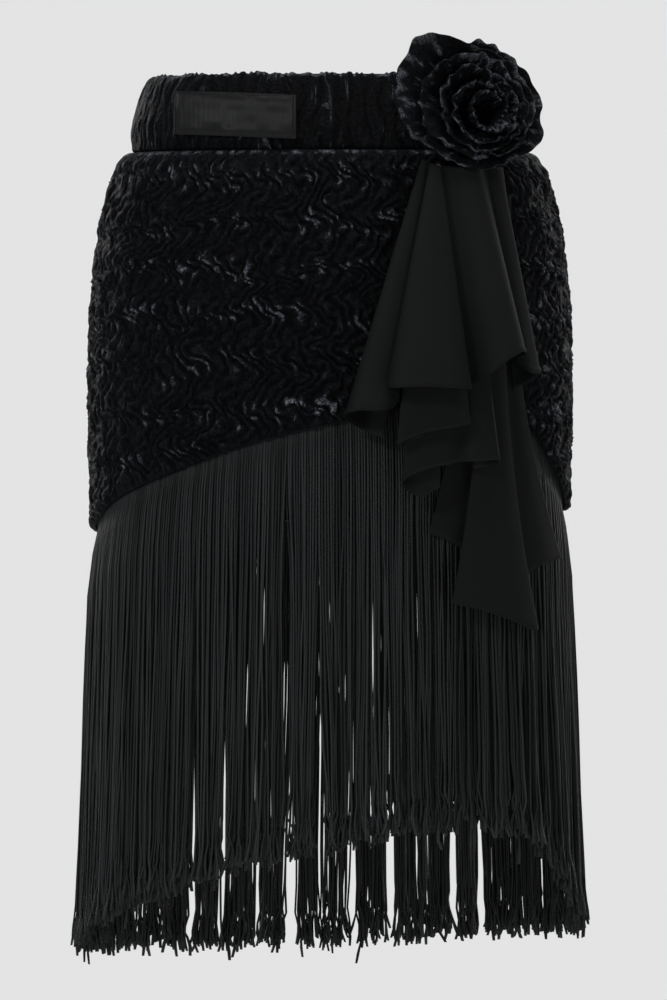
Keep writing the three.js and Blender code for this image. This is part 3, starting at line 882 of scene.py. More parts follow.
@dataclass
class WaistBand:
    """The gathered velvet casing over the elastic."""

    columns: int = 1000
    rows: int = 44
    girth: float = 780.0
    gather: float = 12.2  # from one broad pleat to the next
    pleat: float = 5.6  # from one narrow pleat to the next
    relief: float = 2.4  # how deep the pleats go below the outline
    puff: float = 0.8  # over the elastic, halfway down
    proud: float = 0.6  # how far the pleats stand outside the outline
    top: float = 27.0
    edge: float = 3.0  # how far its rolled edges curve in
    drop: float = 2.0  # how far they drop back
    inner_columns: int = 260
    inner_rows: int = 9
    inner_gathers: int = 52

    def pleats(self, x: Array, y: Array, down: Array) -> tuple[Array, Array]:
        """The broad and the narrow pleats' phases, leaning here and there and kinked low down.

        Args:
            x: distances across, in millimetres.
            y: distances down, in millimetres.
            down: shares of the way from the top edge to the waist seam.

        Returns:
            The two phases, which are whole on the crest of a pleat.
        """
        lean = 0.16 * Drift(31, 60, 30).at(x, y) + 0.30 * Drift(32, 16, 20).at(x, y)
        low = 0.35 * np.sin(x / 5.5) * ease((down - 0.7) / 0.3)
        broad = x / self.gather + lean + low
        narrow = x / self.pleat + 2.7 * lean + 0.8 * Drift(33, 6, 12).at(x, y)
        return broad, narrow

    def outside(self, wall: Wall) -> Array:
        """The gathered face, puffed over the elastic and frilled along the top.

        Args:
            wall: the wall that takes the points.

        Returns:
            The face's point numbers.
        """
        share = np.arange(self.columns) / self.columns
        angle = SKIRT.even_angles(ALL_ROUND, share)[None, :]
        down = np.linspace(0, 1, self.rows)[:, None]
        x, y = share[None, :] * self.girth, down * (self.top - WAIST_SEAM)
        broad, narrow = self.pleats(x, y, down)
        tall = 0.52 + 0.20 * Drift(34, 11, 18).at(x, y)
        crumb = 0.5 + 0.5 * Drift(39, 2.2, 5).at(x, y)
        height = np.abs(np.cos(math.pi * broad)) ** 0.8 * tall + 0.24 * ridge(narrow) + 0.16 * crumb
        roll = rolled(np.minimum(down, 1 - down) * (self.top - WAIST_SEAM), self.edge)
        frill = 1.3 * Drift(35, 2.2, 9).at(x, y) + 0.8 * Drift(36, 6, 9).at(x, y)
        z = self.top - y + frill * ease(1 - y / 6)
        sunk = self.relief * 1.25 * (1 - height)
        out = self.proud - sunk - self.drop * roll + self.puff * np.sin(math.pi * down)
        uv = np.stack([x + 0 * y, y + 0 * x], -1)
        painted_light_and_tone = self.painted_light_and_tone(x, y, down, height)
        return wall.place(BAND.point(angle, z, out), uv, painted_light_and_tone)

    def painted_light_and_tone(self, x: Array, y: Array, down: Array, height: Array) -> Array:
        """Painted highlights as long streaks on the pleats and curls low down, painted shade in the creases
        and a painted highlight along the frill.

        Args:
            x: distances across, in millimetres.
            y: distances down, in millimetres.
            down: shares of the way from the top edge to the waist seam.
            height: the pleats' height, from 0 to 1.

        Returns:
            Values from -1, full painted shade in a crease, to 1, a full painted highlight.
        """
        broad, narrow = self.pleats(x, y, down)
        patches = ease(0.26 + 1.2 * Drift(37, 4, 14).at(x, y))
        long = 0.7 * bell(from_whole(broad - 0.2), 0.05)
        short = 0.5 * bell(from_whole(narrow - 0.15), 0.14)
        # painted highlights along the pleats
        painted_light_and_tone = np.maximum(long, short) * patches
        curls = bell(Drift(46, 5, 4).at(x, y), 0.16) * ease(Drift(47, 22, 12).at(x, y) - 0.1)
        painted_light_and_tone = np.maximum(painted_light_and_tone, 0.55 * curls * ease((down - 0.5) / 0.3))
        # painted shade in the creases
        painted_light_and_tone = painted_light_and_tone - (1 - painted_light_and_tone) * np.clip(1.20 - height, 0, 1)
        # painted highlight along the frilled top edge
        frilled = bell(y - 1.0, 1.3) * ease(0.6 + Drift(38, 2.2, 4).at(x, y))
        return lerp(painted_light_and_tone, 0.8, frilled)

    def inside(self, wall: Wall) -> Array:
        """The plain inner face, with shallow gathers.

        Args:
            wall: the wall that takes the points.

        Returns:
            The face's point numbers.
        """
        share = np.arange(self.inner_columns) / self.inner_columns
        angle = SKIRT.even_angles(ALL_ROUND, share)[None, :]
        z = np.linspace(self.top - 0.4, WAIST_SEAM + 0.3, self.inner_rows)[:, None]
        gather = 0.35 * np.cos(FULL_TURN * self.inner_gathers * share)[None, :]
        return wall.place(BAND.point(angle, z, -self.relief - CLOTH + gather))

    def build(self, wardrobe: Wardrobe) -> bpy.types.Object:
        """The whole casing, in place of its solid.

        Args:
            wardrobe: the finishes.

        Returns:
            The piece.
        """
        wall = Wall()
        wall.shell(self.outside(wall), self.inside(wall), ring=True, lining=1)
        piece = add_piece(
            "band_velvet", wall, [wardrobe.velvet, wardrobe.backing], "waistband"
        )
        return piece


@dataclass
class HipPanel:
    """One hip panel, from the waist seam to the arched hem."""

    name: str
    node: str
    side: Side
    crinkle: Crinkle
    flat: tuple[float, float]
    columns: int = 540
    rows: int = 160
    girth: float = 486.0
    roll: float = 3.4  # how far its sewn edges curve in
    drop: float = 2.2  # how far they drop back
    proud: float = 1.0  # how far the crests stand outside the outline
    deep: float = RELIEF + 1.4  # from a crest down to a crease
    lowest: float = -RELIEF - 0.9  # kept clear of the inner face
    sway: float = 0.9  # of the ridges, to the side
    radius: float = 160.0  # the skirt's, for turning a sway into an angle
    seam: float = 0.09  # degrees from its edge to the middle of the side seam
    gather: float = 5.2  # of the small gathers along the waist seam
    sewn: float = 9.0  # how far down the waist seam holds the crinkle flat
    inner_columns: int = 124
    inner_rows: int = 12

    def rise(self) -> float:
        """The height of the panel's top edge."""
        return WAIST_SEAM - SEAM_GAP

    def angles(self, count: int) -> tuple[Array, Array]:
        """Shares of the way across, and their angles, clear of the side seams.

        Args:
            count: how many angles.

        Returns:
            The shares, and the angles in radians.
        """
        share = np.linspace(0, 1, count)
        ends = (self.side.value[0] + self.seam, self.side.value[1] - self.seam)
        return share, SKIRT.even_angles(ends, share)

    def outside(self, wall: Wall) -> Array:
        """The crinkled face, rolled in at the waist seam, the hem and the side seams.

        Args:
            wall: the wall that takes the points.

        Returns:
            The face's point numbers.
        """
        share, angle = self.angles(self.columns)
        share, angle = share[None, :], angle[None, :]
        down = np.linspace(0, 1, self.rows)[:, None]
        z = self.rise() + (hem_height(angle) - self.rise()) * down
        x, y = share * self.girth + 0 * z, self.rise() - z
        height, painted_light_and_tone = self.crinkle.relief(x, y)
        gathers = np.abs(np.cos(math.pi * x / self.gather + Drift(51, 9, 9).at(x, y))) ** 0.8
        sewn = ease(1 - y / self.sewn)
        height = lerp(height, 0.35 + 0.5 * gathers, sewn)
        # painted highlight: a thin broken light line along the waist seam, in place of the crinkle's
        painted_light_and_tone = painted_light_and_tone * (1 - sewn) + sewn * bell(y - 2.0, 1.2) * ease(0.3 + Drift(52, 3, 4).at(x, y))
        below = z - hem_height(angle)
        aside = np.minimum(share, 1 - share) * self.girth
        curl = sum(rolled(edge, self.roll) for edge in (y, below, aside))
        tuck = ease(1 - aside / 7)
        sunk = self.deep * (1 - height) * (1 - 0.5 * tuck)
        out = np.maximum(self.proud - sunk - self.drop * np.minimum(curl, 1), self.lowest)
        sway = self.sway * (1 - tuck) * Drift(53, 6, 7).at(x, y) * ease(below / 12) * (1 - sewn)
        uv = np.stack([x, y], -1)
        points = SKIRT.point(angle + sway / self.radius, z, out)
        return wall.place(points, uv, painted_light_and_tone * (1 - 0.5 * tuck))

    def inside(self, wall: Wall) -> Array:
        """The plain inner face.

        Args:
            wall: the wall that takes the points.

        Returns:
            The face's point numbers.
        """
        _, angle = self.angles(self.inner_columns)
        down = np.linspace(0, 1, self.inner_rows)[:, None]
        z = self.rise() + (hem_height(angle[None, :]) - self.rise()) * down
        return wall.place(SKIRT.point(angle[None, :], z, -RELIEF - CLOTH))

    def build(self, wardrobe: Wardrobe) -> bpy.types.Object:
        """The whole panel, in place of its solid.

        Args:
            wardrobe: the finishes.

        Returns:
            The piece.
        """
        wall = Wall()
        wall.shell(self.outside(wall), self.inside(wall), lining=1)
        materials = [wardrobe.velvet, wardrobe.backing]
        piece = add_piece(self.name, wall, materials, self.node)
        return piece


@dataclass(frozen=True)
class Parting:
    """A place where the strands hang apart, from a share of the way down.

    Its angle is in degrees. At the parting they hang aside by its opening, and less with every
    reach away from it, in millimetres.
    """

    degrees: float
    opening: float
    reach: float
    start: float


@dataclass
class FringeCurtain:
    """The fringe: rope-like strands in three rows, sewn to a tape behind the hem.

    A strand's middle line hangs down the skirt's outline. Below the first quarter it drifts
    towards the middle of its clump and away from partings, and its last centimetres kink.
    Where there is one value a row, the outer row's comes first.
    """

    strands: int = 462  # in each row
    rows: int = 3
    radius: float = 0.88
    end_swell: tuple[float, float] = (1.45, 1.15)  # of the last two points of a strand
    sides: int = 4
    row_out: float = -1.2  # where the outer row hangs, outside the outline
    row_gap: float = 2.2
    pulls: Triple = (1.0, 0.8, 0.35)  # towards the middle of the clump
    # painted shade: each row's tone is scaled by its factor, so the inner rows are darker
    painted_row_shade: Triple = (1.0, 0.75, 0.5)
    clump_widths: tuple[float, float] = (6.5, 16.0)
    most_clumps: int = 160
    sewn: float = 3.0  # how far above the tape's lower edge the strands start
    tape_out: float = -5.8
    tape_thick: float = 2.4
    tape_top: float = 9.0
    tape_bottom: float = 1.5
    tape_columns: int = 360
    tape_rows: int = 5
    seed: int = 7
    partings: tuple[Parting, ...] = (
        Parting(degrees=259.5, opening=3.4, reach=9.0, start=0.08),
        Parting(degrees=204.0, opening=4.0, reach=12.0, start=0.55),
        Parting(degrees=214.0, opening=3.0, reach=10.0, start=0.50),
        Parting(degrees=323.0, opening=4.0, reach=11.0, start=0.35),
        Parting(degrees=333.0, opening=3.0, reach=9.0, start=0.45),
    )
    shares: tuple[float, ...] = (
        0.0, 0.03, 0.08, 0.18, 0.30, 0.42, 0.54, 0.66, 0.77, 0.86, 0.925, 0.955, 0.978, 1.0,
    )

    @staticmethod
    def girth() -> float:
        """The outline's length at hip height, in millimetres."""
        ring = SKIRT.point(np.linspace(0, FULL_TURN, RING_STEPS), HIP_HEIGHT, 0.0)
        return float(np.linalg.norm(np.diff(ring, axis=0), axis=1).sum())

    def clumps(self) -> Array:
        """The clumps' borders, as shares of the way round.

        Returns:
            Shares from 0 to 1, rising.
        """
        rng = np.random.default_rng(self.seed)
        widths = rng.uniform(*self.clump_widths, self.most_clumps)
        borders = np.concatenate([[0], np.cumsum(widths)])
        borders = borders[borders < self.girth() - 5]
        return np.append(borders, self.girth()) / self.girth()

    def clumped(self, root: Array, row: int, t: Array) -> tuple[Array, Array, Array]:
        """How the strands lean together in clumps.

        Args:
            root: where they hang, as shares of the way round.
            row: the number of their row.
            t: the shares of the way down, as a row.

        Returns:
            How far they are drawn along, as shares, how far they sway, in millimetres, and the
            numbers of their clumps.
        """
        borders = self.clumps()
        home = np.clip(np.searchsorted(borders, root, side="right") - 1, 0, len(borders) - 2)
        centre = (borders[home] + borders[home + 1]) / 2
        pull = np.random.default_rng(self.seed + 1).uniform(0.14, 0.40, len(borders))[home]
        pull = pull * self.pulls[row]
        drawn = (centre - root)[:, None] * pull[:, None] * ease((t - 0.16) / 0.62)
        sway = np.random.default_rng(self.seed + 2).normal(0, 2.2, len(borders))[home]
        return drawn, sway[:, None] * ease((t - 0.2) / 0.8) ** 1.4, home

    def parted(self, root: Array, degrees: Array, t: Array) -> Array:
        """How far the strands hang aside of the partings, in millimetres.

        Args:
            root: where they hang, as shares of the way round.
            degrees: the same places as angles.
            t: the shares of the way down, as a row.

        Returns:
            Distances of shape (strands, shares).
        """
        apart = np.zeros((root.size, t.size))
        for parting in self.partings:
            middle = np.searchsorted(np.sort(degrees), parting.degrees) / root.size
            aside = (root - middle) * self.girth()
            push = np.sign(aside) * np.exp(-np.abs(aside) / parting.reach) * parting.opening
            apart += push[:, None] * ease((t - parting.start) / 0.35)
        return apart

    def middles(self, row: int, rng: np.random.Generator) -> tuple[Array, Array]:
        """The strands' middle lines.

        Args:
            row: the number of their row, 0 for the outer one.
            rng: the seeded source of their unevenness.

        Returns:
            Points of shape (strands, shares, 3), and the angles at the roots.
        """
        count = self.strands
        root = (np.arange(count) + 0.5 + 0.37 * row + rng.uniform(-0.16, 0.16, count)) / count
        root_angle = SKIRT.even_angles(ALL_ROUND, root % 1.0)
        t = np.array(self.shares)[None, :]
        drawn, sway, home = self.clumped(root % 1.0, row, t)
        turns = rng.uniform(0, FULL_TURN, (count, 3))
        sizes = rng.normal(0, 1, (count, 3)) * np.array([0.9, 0.55, 0.35])
        waves = sum(
            sizes[:, k : k + 1] * np.sin(turns[:, k : k + 1] + t * (4 + 5 * k)) for k in range(3)
        )
        kink = rng.normal(0, 2.6, count)[:, None] * np.clip((t - 0.925) / 0.075, 0, 1)
        curl = rng.normal(0, 0.9, count)[:, None] * np.sin(np.clip((t - 0.9) / 0.1, 0, 1) * 7)
        apart = self.parted(root % 1.0, np.degrees(root_angle) % 360, t)
        along = sway + waves * ease(t / 0.5) + kink + curl + apart
        angle = SKIRT.even_angles(ALL_ROUND, (root[:, None] + drawn + along / self.girth()) % 1.0)
        top = hem_height(root_angle) + self.tape_bottom + self.sewn
        drop = FRINGE_DROP + rng.normal(0, 3.4, count) + 2.5 * wobble(home, 5)
        strays = (rng.uniform(0, 1, count) > 0.985) * rng.uniform(6, 16, count)
        z = top[:, None] - t * (drop + strays + self.tape_bottom + self.sewn)[:, None]
        start = self.tape_out - self.tape_thick / 2 - 0.3
        hang = lerp(start, self.row_out - self.row_gap * row, ease(t / 0.14))
        depth = rng.normal(0, 1, (count, 1)) * 1.1 * t + 0.6 * np.sin(turns[:, :1] * 3 + 7 * t)
        depth = depth + rng.normal(0, 2.0, (count, 1)) * np.clip((t - 0.93) / 0.07, 0, 1)
        return SKIRT.point(angle, z, hang + depth * ease(t / 0.3)), root_angle

    def strand_rows(self, row: int, side: Side, wall: Wall) -> None:
        """Adds the strands of one row that hang from one half of the skirt.

        Args:
            row: the number of the row, 0 for the outer one.
            side: the half.
            wall: the wall that takes the strands.
        """
        rng = np.random.default_rng(self.seed + 10 + row)
        lines, root_angle = self.middles(row, rng)
        first, last = side.value
        degrees = np.degrees(root_angle) % 360
        mine = (degrees >= first) & (degrees < last)
        # a random tone for each strand, with its row's painted shade
        tone = rng.uniform(0, 1, len(lines))[mine] * self.painted_row_shade[row]
        girths = rng.uniform(0.9, 1.1, len(lines))[mine]
        lines = lines[mine]
        swell = np.ones(lines.shape[1])
        swell[-2:] = self.end_swell
        radius = self.radius * girths[:, None] * swell[None, :]
        turn = FULL_TURN * (np.arange(self.sides) + 0.5) / self.sides
        heading = np.arctan2(lines[..., 1], lines[..., 0])
        spin = heading[..., None] + turn
        ring = np.stack([np.cos(spin), np.sin(spin), np.zeros_like(spin)], axis=-1)
        points = lines[:, :, None, :] + radius[..., None, None] * ring
        length = np.linalg.norm(np.diff(lines, axis=1), axis=2).cumsum(axis=1)
        length = np.concatenate([np.zeros((len(lines), 1)), length], axis=1)
        u = np.broadcast_to(turn / 3, points.shape[:-1])
        v = np.broadcast_to(length[..., None], points.shape[:-1])
        index = wall.place(points, np.stack([u, v], -1), tone[:, None, None])
        after = np.roll(index, -1, axis=2)
        quads = [index[:, :-1], index[:, 1:], after[:, 1:], after[:, :-1]]
        wall.faces(np.stack(quads, axis=-1))
        wall.faces(index[:, 0, :])
        wall.faces(index[:, -1, ::-1])

    def tape(self, wardrobe: Wardrobe) -> bpy.types.Object:
        """The woven tape that the strands are looped through.

        Args:
            wardrobe: the finishes.

        Returns:
            The piece.
        """
        wall = Wall()
        share = np.arange(self.tape_columns) / self.tape_columns
        angle = SKIRT.even_angles(ALL_ROUND, share)[None, :]
        above = np.linspace(self.tape_top, self.tape_bottom, self.tape_rows)[:, None]
        z = hem_height(angle) + above
        outer = wall.place(SKIRT.point(angle, z, self.tape_out))
        inner = wall.place(SKIRT.point(angle, z, self.tape_out - self.tape_thick))
        wall.shell(outer, inner, ring=True)
        return add_piece("fringe_tape", wall, [wardrobe.rayon], "fringe")

    def build(self, wardrobe: Wardrobe) -> list[bpy.types.Object]:
        """The tape and the two halves of the curtain, in place of the fringe's solid.

        Args:
            wardrobe: the finishes.

        Returns:
            The three pieces.
        """
        pieces = [self.tape(wardrobe)]
        for name, side in (("fringe_front", Side.FRONT), ("fringe_back", Side.BACK)):
            wall = Wall()
            for row in range(self.rows):
                self.strand_rows(row, side, wall)
            pieces.append(add_piece(name, wall, [wardrobe.rayon], "fringe"))
        return pieces


def curve_through(points: Array, at: Array) -> Array:
    """A centripetal Catmull-Rom curve, which passes point number i where at is i.

    Args:
        points: the points, of shape (count, 3).
        at: point numbers and what lies between them.

    Returns:
        Points of the curve, of shape (..., 3).
    """
    before, after = 2 * points[0] - points[1], 2 * points[-1] - points[-2]
    points = np.concatenate([before[None], points, after[None]])
    gaps = np.linalg.norm(np.diff(points, axis=0), axis=1) ** 0.5
    knots = np.concatenate([[0], np.cumsum(gaps)])
    i = np.clip(np.floor(at).astype(int), 0, len(points) - 4) + 1
    k = [knots[i + step][:, None] for step in (-1, 0, 1, 2)]
    p = [points[i + step] for step in (-1, 0, 1, 2)]
    t = lerp(k[1], k[2], (at - i + 1)[:, None])

    def between(first: Array, second: Array, start: Array, end: Array) -> Array:
        """Goes from first to second in a straight line, as far as knot value t.

        Args:
            first: the point at start.
            second: the point at end.
            start: its knot value.
            end: its knot value.

        Returns:
            The point.
        """
        return ((end - t) * first + (t - start) * second) / (end - start)

    a = [between(p[s], p[s + 1], k[s], k[s + 1]) for s in range(3)]
    b = [between(a[s], a[s + 1], k[s], k[s + 2]) for s in range(2)]
    return between(b[0], b[1], k[1], k[2])


@dataclass
class CascadeTier:
    """A folded crepe sheet, pleated together towards its top edge.

    A fold is a row of (x, z, off, top_x): the free edge passes it at x and z, off the skirt by
    off, and it starts at top_x. There it keeps top_depth of its depth from off = base, and a
    flare above 1 keeps the folds together longer on the way down. The cloth is darker where a
    fold beside it stands further off the skirt, as soft light hardly comes in there.
    """

    name: str
    node: str
    base: float
    top_z: float
    top_depth: float
    flare: float
    folds: tuple[tuple[float, float, float, float], ...]
    flat: tuple[float, float]
    area: float
    rests_on: tuple[str, ...]
    columns: int = 260
    rows: int = 72
    thick: float = 0.8
    hem: float = 1.1
    lift_from: float = 76.0  # left of this, the top edge rises under the rose
    lift: float = 0.5
    wrinkle: float = 0.7
    edge_steps: int = 2400  # points on the free edge when it is measured
    reach: int = 17  # columns within which a fold shades its neighbour
    soften: int = 3  # columns over which the shade is blurred
    shallow: float = 1.5  # no shade down to this depth
    deep: float = 8.5  # full shade this much deeper

    def edges(self) -> tuple[Array, Array]:
        """Points (x, off, z) along the top edge and the free edge, evenly spaced on the latter.

        Returns:
            The two edges, each of shape (columns, 3).
        """
        x, z, off, top_x = np.array(self.folds).T
        lift = self.lift * np.maximum(0, self.lift_from - top_x)
        top = np.stack([top_x, lerp(self.base, off, self.top_depth), self.top_z + lift], axis=-1)
        free = np.stack([x, off, z], axis=-1)
        at = np.linspace(0, len(self.folds) - 1, self.edge_steps)
        steps = np.linalg.norm(np.diff(curve_through(free, at), axis=0), axis=1)
        lengths = np.concatenate([[0], np.cumsum(steps)])
        even = np.interp(np.linspace(0, lengths[-1], self.columns), lengths, at)
        return curve_through(top, even), curve_through(free, even)

    @staticmethod
    def neighbours(values: Array, reach: int) -> Array:
        """The neighbours of each value within reach of it in its row, along a new last axis."""
        padded = np.pad(values, ((0, 0), (reach, reach)), mode="edge")
        return np.lib.stride_tricks.sliding_window_view(padded, 2 * reach + 1, axis=1)

    def depth(self, off: Array) -> Array:
        """How deep each point lies beside the folds within reach of it, from 0 to 1.

        Args:
            off: how far the sheet stands off the skirt, by rows and columns.

        Returns:
            The depths, of the same shape.
        """
        crest = self.neighbours(off, self.reach).max(axis=-1)
        mean = self.neighbours(crest - off, self.soften).mean(axis=-1)
        return ease((mean - self.shallow) / self.deep)

    def middle(self) -> tuple[Array, Array]:
        """The sheet's middle surface, of shape (rows, columns, 3), and its depth in the folds.

        Returns:
            The points, and the depths of shape (rows, columns).
        """
        top, free = self.edges()
        share = np.linspace(0, 1, self.rows)[:, None]
        x = lerp(top[:, 0], free[:, 0], share**self.flare)
        off = lerp(top[:, 1], free[:, 1], share)
        z = lerp(top[:, 2], free[:, 2], share)
        column = np.arange(self.columns)[None, :] * 260 / self.columns
        drift = Drift(len(self.name), 26, 15).at(column, share * 70)
        return SKIRT.front_point(x, z, off + self.wrinkle * drift * share), self.depth(off)

    def build(self, wardrobe: Wardrobe) -> bpy.types.Object:
        """The sheet with its thickness and a narrow rolled hem, in place of its solid.

        Args:
            wardrobe: the finishes.

        Returns:
            The piece.
        """
        middle, depth = self.middle()
        down = np.gradient(middle, axis=0)
        across = np.gradient(middle, axis=1)
        normal = np.cross(down, across)
        normal /= np.maximum(np.linalg.norm(normal, axis=-1, keepdims=True), 1e-9)
        width = np.linalg.norm(across, axis=-1).cumsum(axis=1)
        length = np.linalg.norm(down, axis=-1).cumsum(axis=0)
        from_hem = length[-1:] - length
        half = self.thick / 2 + (self.hem - self.thick / 2) * bell(from_hem - 1.6, 1.5)
        half = half * np.sqrt(np.clip((from_hem + 0.25) / 1.6, 0.15, 1))
        uv = np.stack([width, length], -1)
        wall = Wall()
        # the depth in the folds is painted on as shade
        outer = wall.place(middle + half[..., None] * normal, uv, depth)
        inner = wall.place(middle - half[..., None] * normal, uv, depth)
        wall.shell(outer, inner)
        piece = add_piece(self.name, wall, [wardrobe.crepe], self.node)
        return piece


CASCADE = (
    CascadeTier(
        name="tier_upper",
        node="cascade_upper",
        base=4,
        top_z=-40,
        top_depth=0.3,
        flare=1,
        folds=(
            (38, -233, 12, 71),
            (26, -229, 11, 69),
            (12, -221, 14, 66),
            (11, -217, 23, 65.5),
            (20, -214, 31, 66.5),
            (34, -214, 32, 68),
            (45, -212, 29, 70.5),
            (48, -205, 33, 72),
            (40, -198, 39, 71.5),
            (47, -198, 46, 72.5),
            (66, -197, 49, 73.5),
            (86, -198, 46, 76),
            (100, -199, 40, 78),
            (90, -199, 33, 78.5),
            (97, -198, 29, 82.5),
            (112, -189, 35, 90),
            (125, -179, 41, 98),
            (137, -172, 37, 105),
            (139, -174, 28, 108),
            (133, -179, 22, 111),
            (144, -187, 21, 117),
            (150, -187, 17, 121),
            (141, -193, 12, 123),
            (130, -199, 8, 121),
        ),
        flat=(0.36, 0.22),
        area=0.042,
        rests_on=("rose", "front_panel"),
    ),
    CascadeTier(
        name="tier_middle",
        node="cascade_middle",
        base=15.1,
        top_z=-150,
        top_depth=0.47,
        flare=1,
        folds=(
            (66, -232, 25.6, 69),
            (50, -238, 25.6, 58),
            (48, -238, 30.6, 56.5),
            (66, -230, 33.6, 69),
            (86, -226, 34.1, 83),
            (99, -223, 29.6, 92),
            (88, -221, 23.6, 84.5),
        ),
        flat=(0.13, 0.09),
        area=0.009,
        rests_on=("cascade_upper",),
        columns=120,
        rows=40,
    ),
    CascadeTier(
        name="tier_lower",
        node="cascade_lower",
        base=10.4,
        top_z=-120,
        top_depth=0.45,
        flare=1,
        folds=(
            (78, -268, 17.1, 80.5),
            (64, -275, 16.6, 72),
            (51, -267, 18.1, 64),
            (54, -262, 23.1, 66),
            (70, -255, 24.6, 75.5),
            (84, -252, 22.6, 84),
            (92, -250, 20.1, 89),
            (104, -250, 24.6, 96),
            (120, -249, 23.1, 104),
            (119, -252, 18.1, 104),
            (102, -255, 17.1, 95),
        ),
        flat=(0.17, 0.16),
        area=0.018,
        rests_on=("cascade_upper",),
        columns=160,
        rows=48,
    ),
    CascadeTier(
        name="tier_tail",
        node="cascade_tail",
        base=1.2,
        top_z=-60,
        top_depth=0.2,
        flare=2.4,
        folds=(
            (70, -301, 1.2, 98),
            (84, -306, 1.8, 101),
            (95, -314, 2.4, 104),
            (98, -328, 6, 107),
            (93, -342, 9.5, 109),
            (87, -350, 13, 111),
            (98, -353, 16, 113.5),
            (116, -358, 16.5, 116),
            (132, -364, 16, 118.5),
            (148, -370, 12.5, 121),
            (141, -346, 7.5, 122.5),
            (142, -330, 4, 124),
            (155, -322, 6, 126.5),
            (166, -319, 4.5, 129),
        ),
        flat=(0.21, 0.29),
        area=0.027,
        rests_on=("rose", "front_panel"),
        columns=220,
        rows=64,
    ),
)


# The rolled strip by turns counted back from its outer end: its radii at foot, belly and rim, and
# how far its edge is drawn out sideways.
PETALS = (
    (0.0, 21.0, 33.0, 45.0, 1.0),
    (0.05, 20.8, 33.0, 48.0, 1.0),
    (0.12, 20.6, 33.0, 49.5, 1.0),
    (0.27, 20.0, 32.0, 49.0, 1.0),
    (0.35, 19.7, 31.5, 54.0, 1.0),
    (0.42, 19.5, 31.5, 49.5, 1.0),
    (0.52, 19.2, 31.0, 47.0, 1.0),
    (0.63, 18.8, 30.5, 44.5, 1.0),
    (0.70, 18.5, 30.5, 50.5, 1.0),
    (0.84, 18.0, 30.0, 53.0, 1.0),
    (0.93, 17.7, 29.5, 53.5, 1.0),
    (0.99, 17.5, 28.8, 49.0, 0.95),
    (1.05, 17.3, 28.0, 42.0, 0.90),
    (1.27, 16.5, 27.3, 43.5, 0.85),
    (1.52, 15.6, 26.0, 38.5, 0.80),
    (1.77, 14.8, 25.5, 41.0, 0.72),
    (2.02, 13.9, 23.5, 35.5, 0.65),
    (2.27, 13.0, 22.5, 35.0, 0.60),
    (2.52, 12.2, 21.5, 33.5, 0.53),
    (2.77, 11.3, 20.5, 30.5, 0.47),
    (3.02, 10.5, 18.5, 27.0, 0.40),
    (3.27, 9.6, 17.5, 26.5, 0.35),
    (3.52, 8.8, 17.0, 27.0, 0.28),
    (3.77, 8.0, 15.5, 25.0, 0.23),
    (4.02, 7.2, 12.0, 16.5, 0.15),
    (4.27, 6.4, 11.0, 15.5, 0.12),
    (4.52, 5.6, 11.0, 19.0, 0.08),
    (4.77, 4.8, 9.0, 14.0, 0.05),
    (5.20, 3.4, 6.0, 7.5, 0.0),
)


def petal(column: int) -> SmoothTable:
    """A smooth curve through one column of the petals' table."""
    return SmoothTable(tuple(row[0] for row in PETALS), tuple(row[column] for row in PETALS))


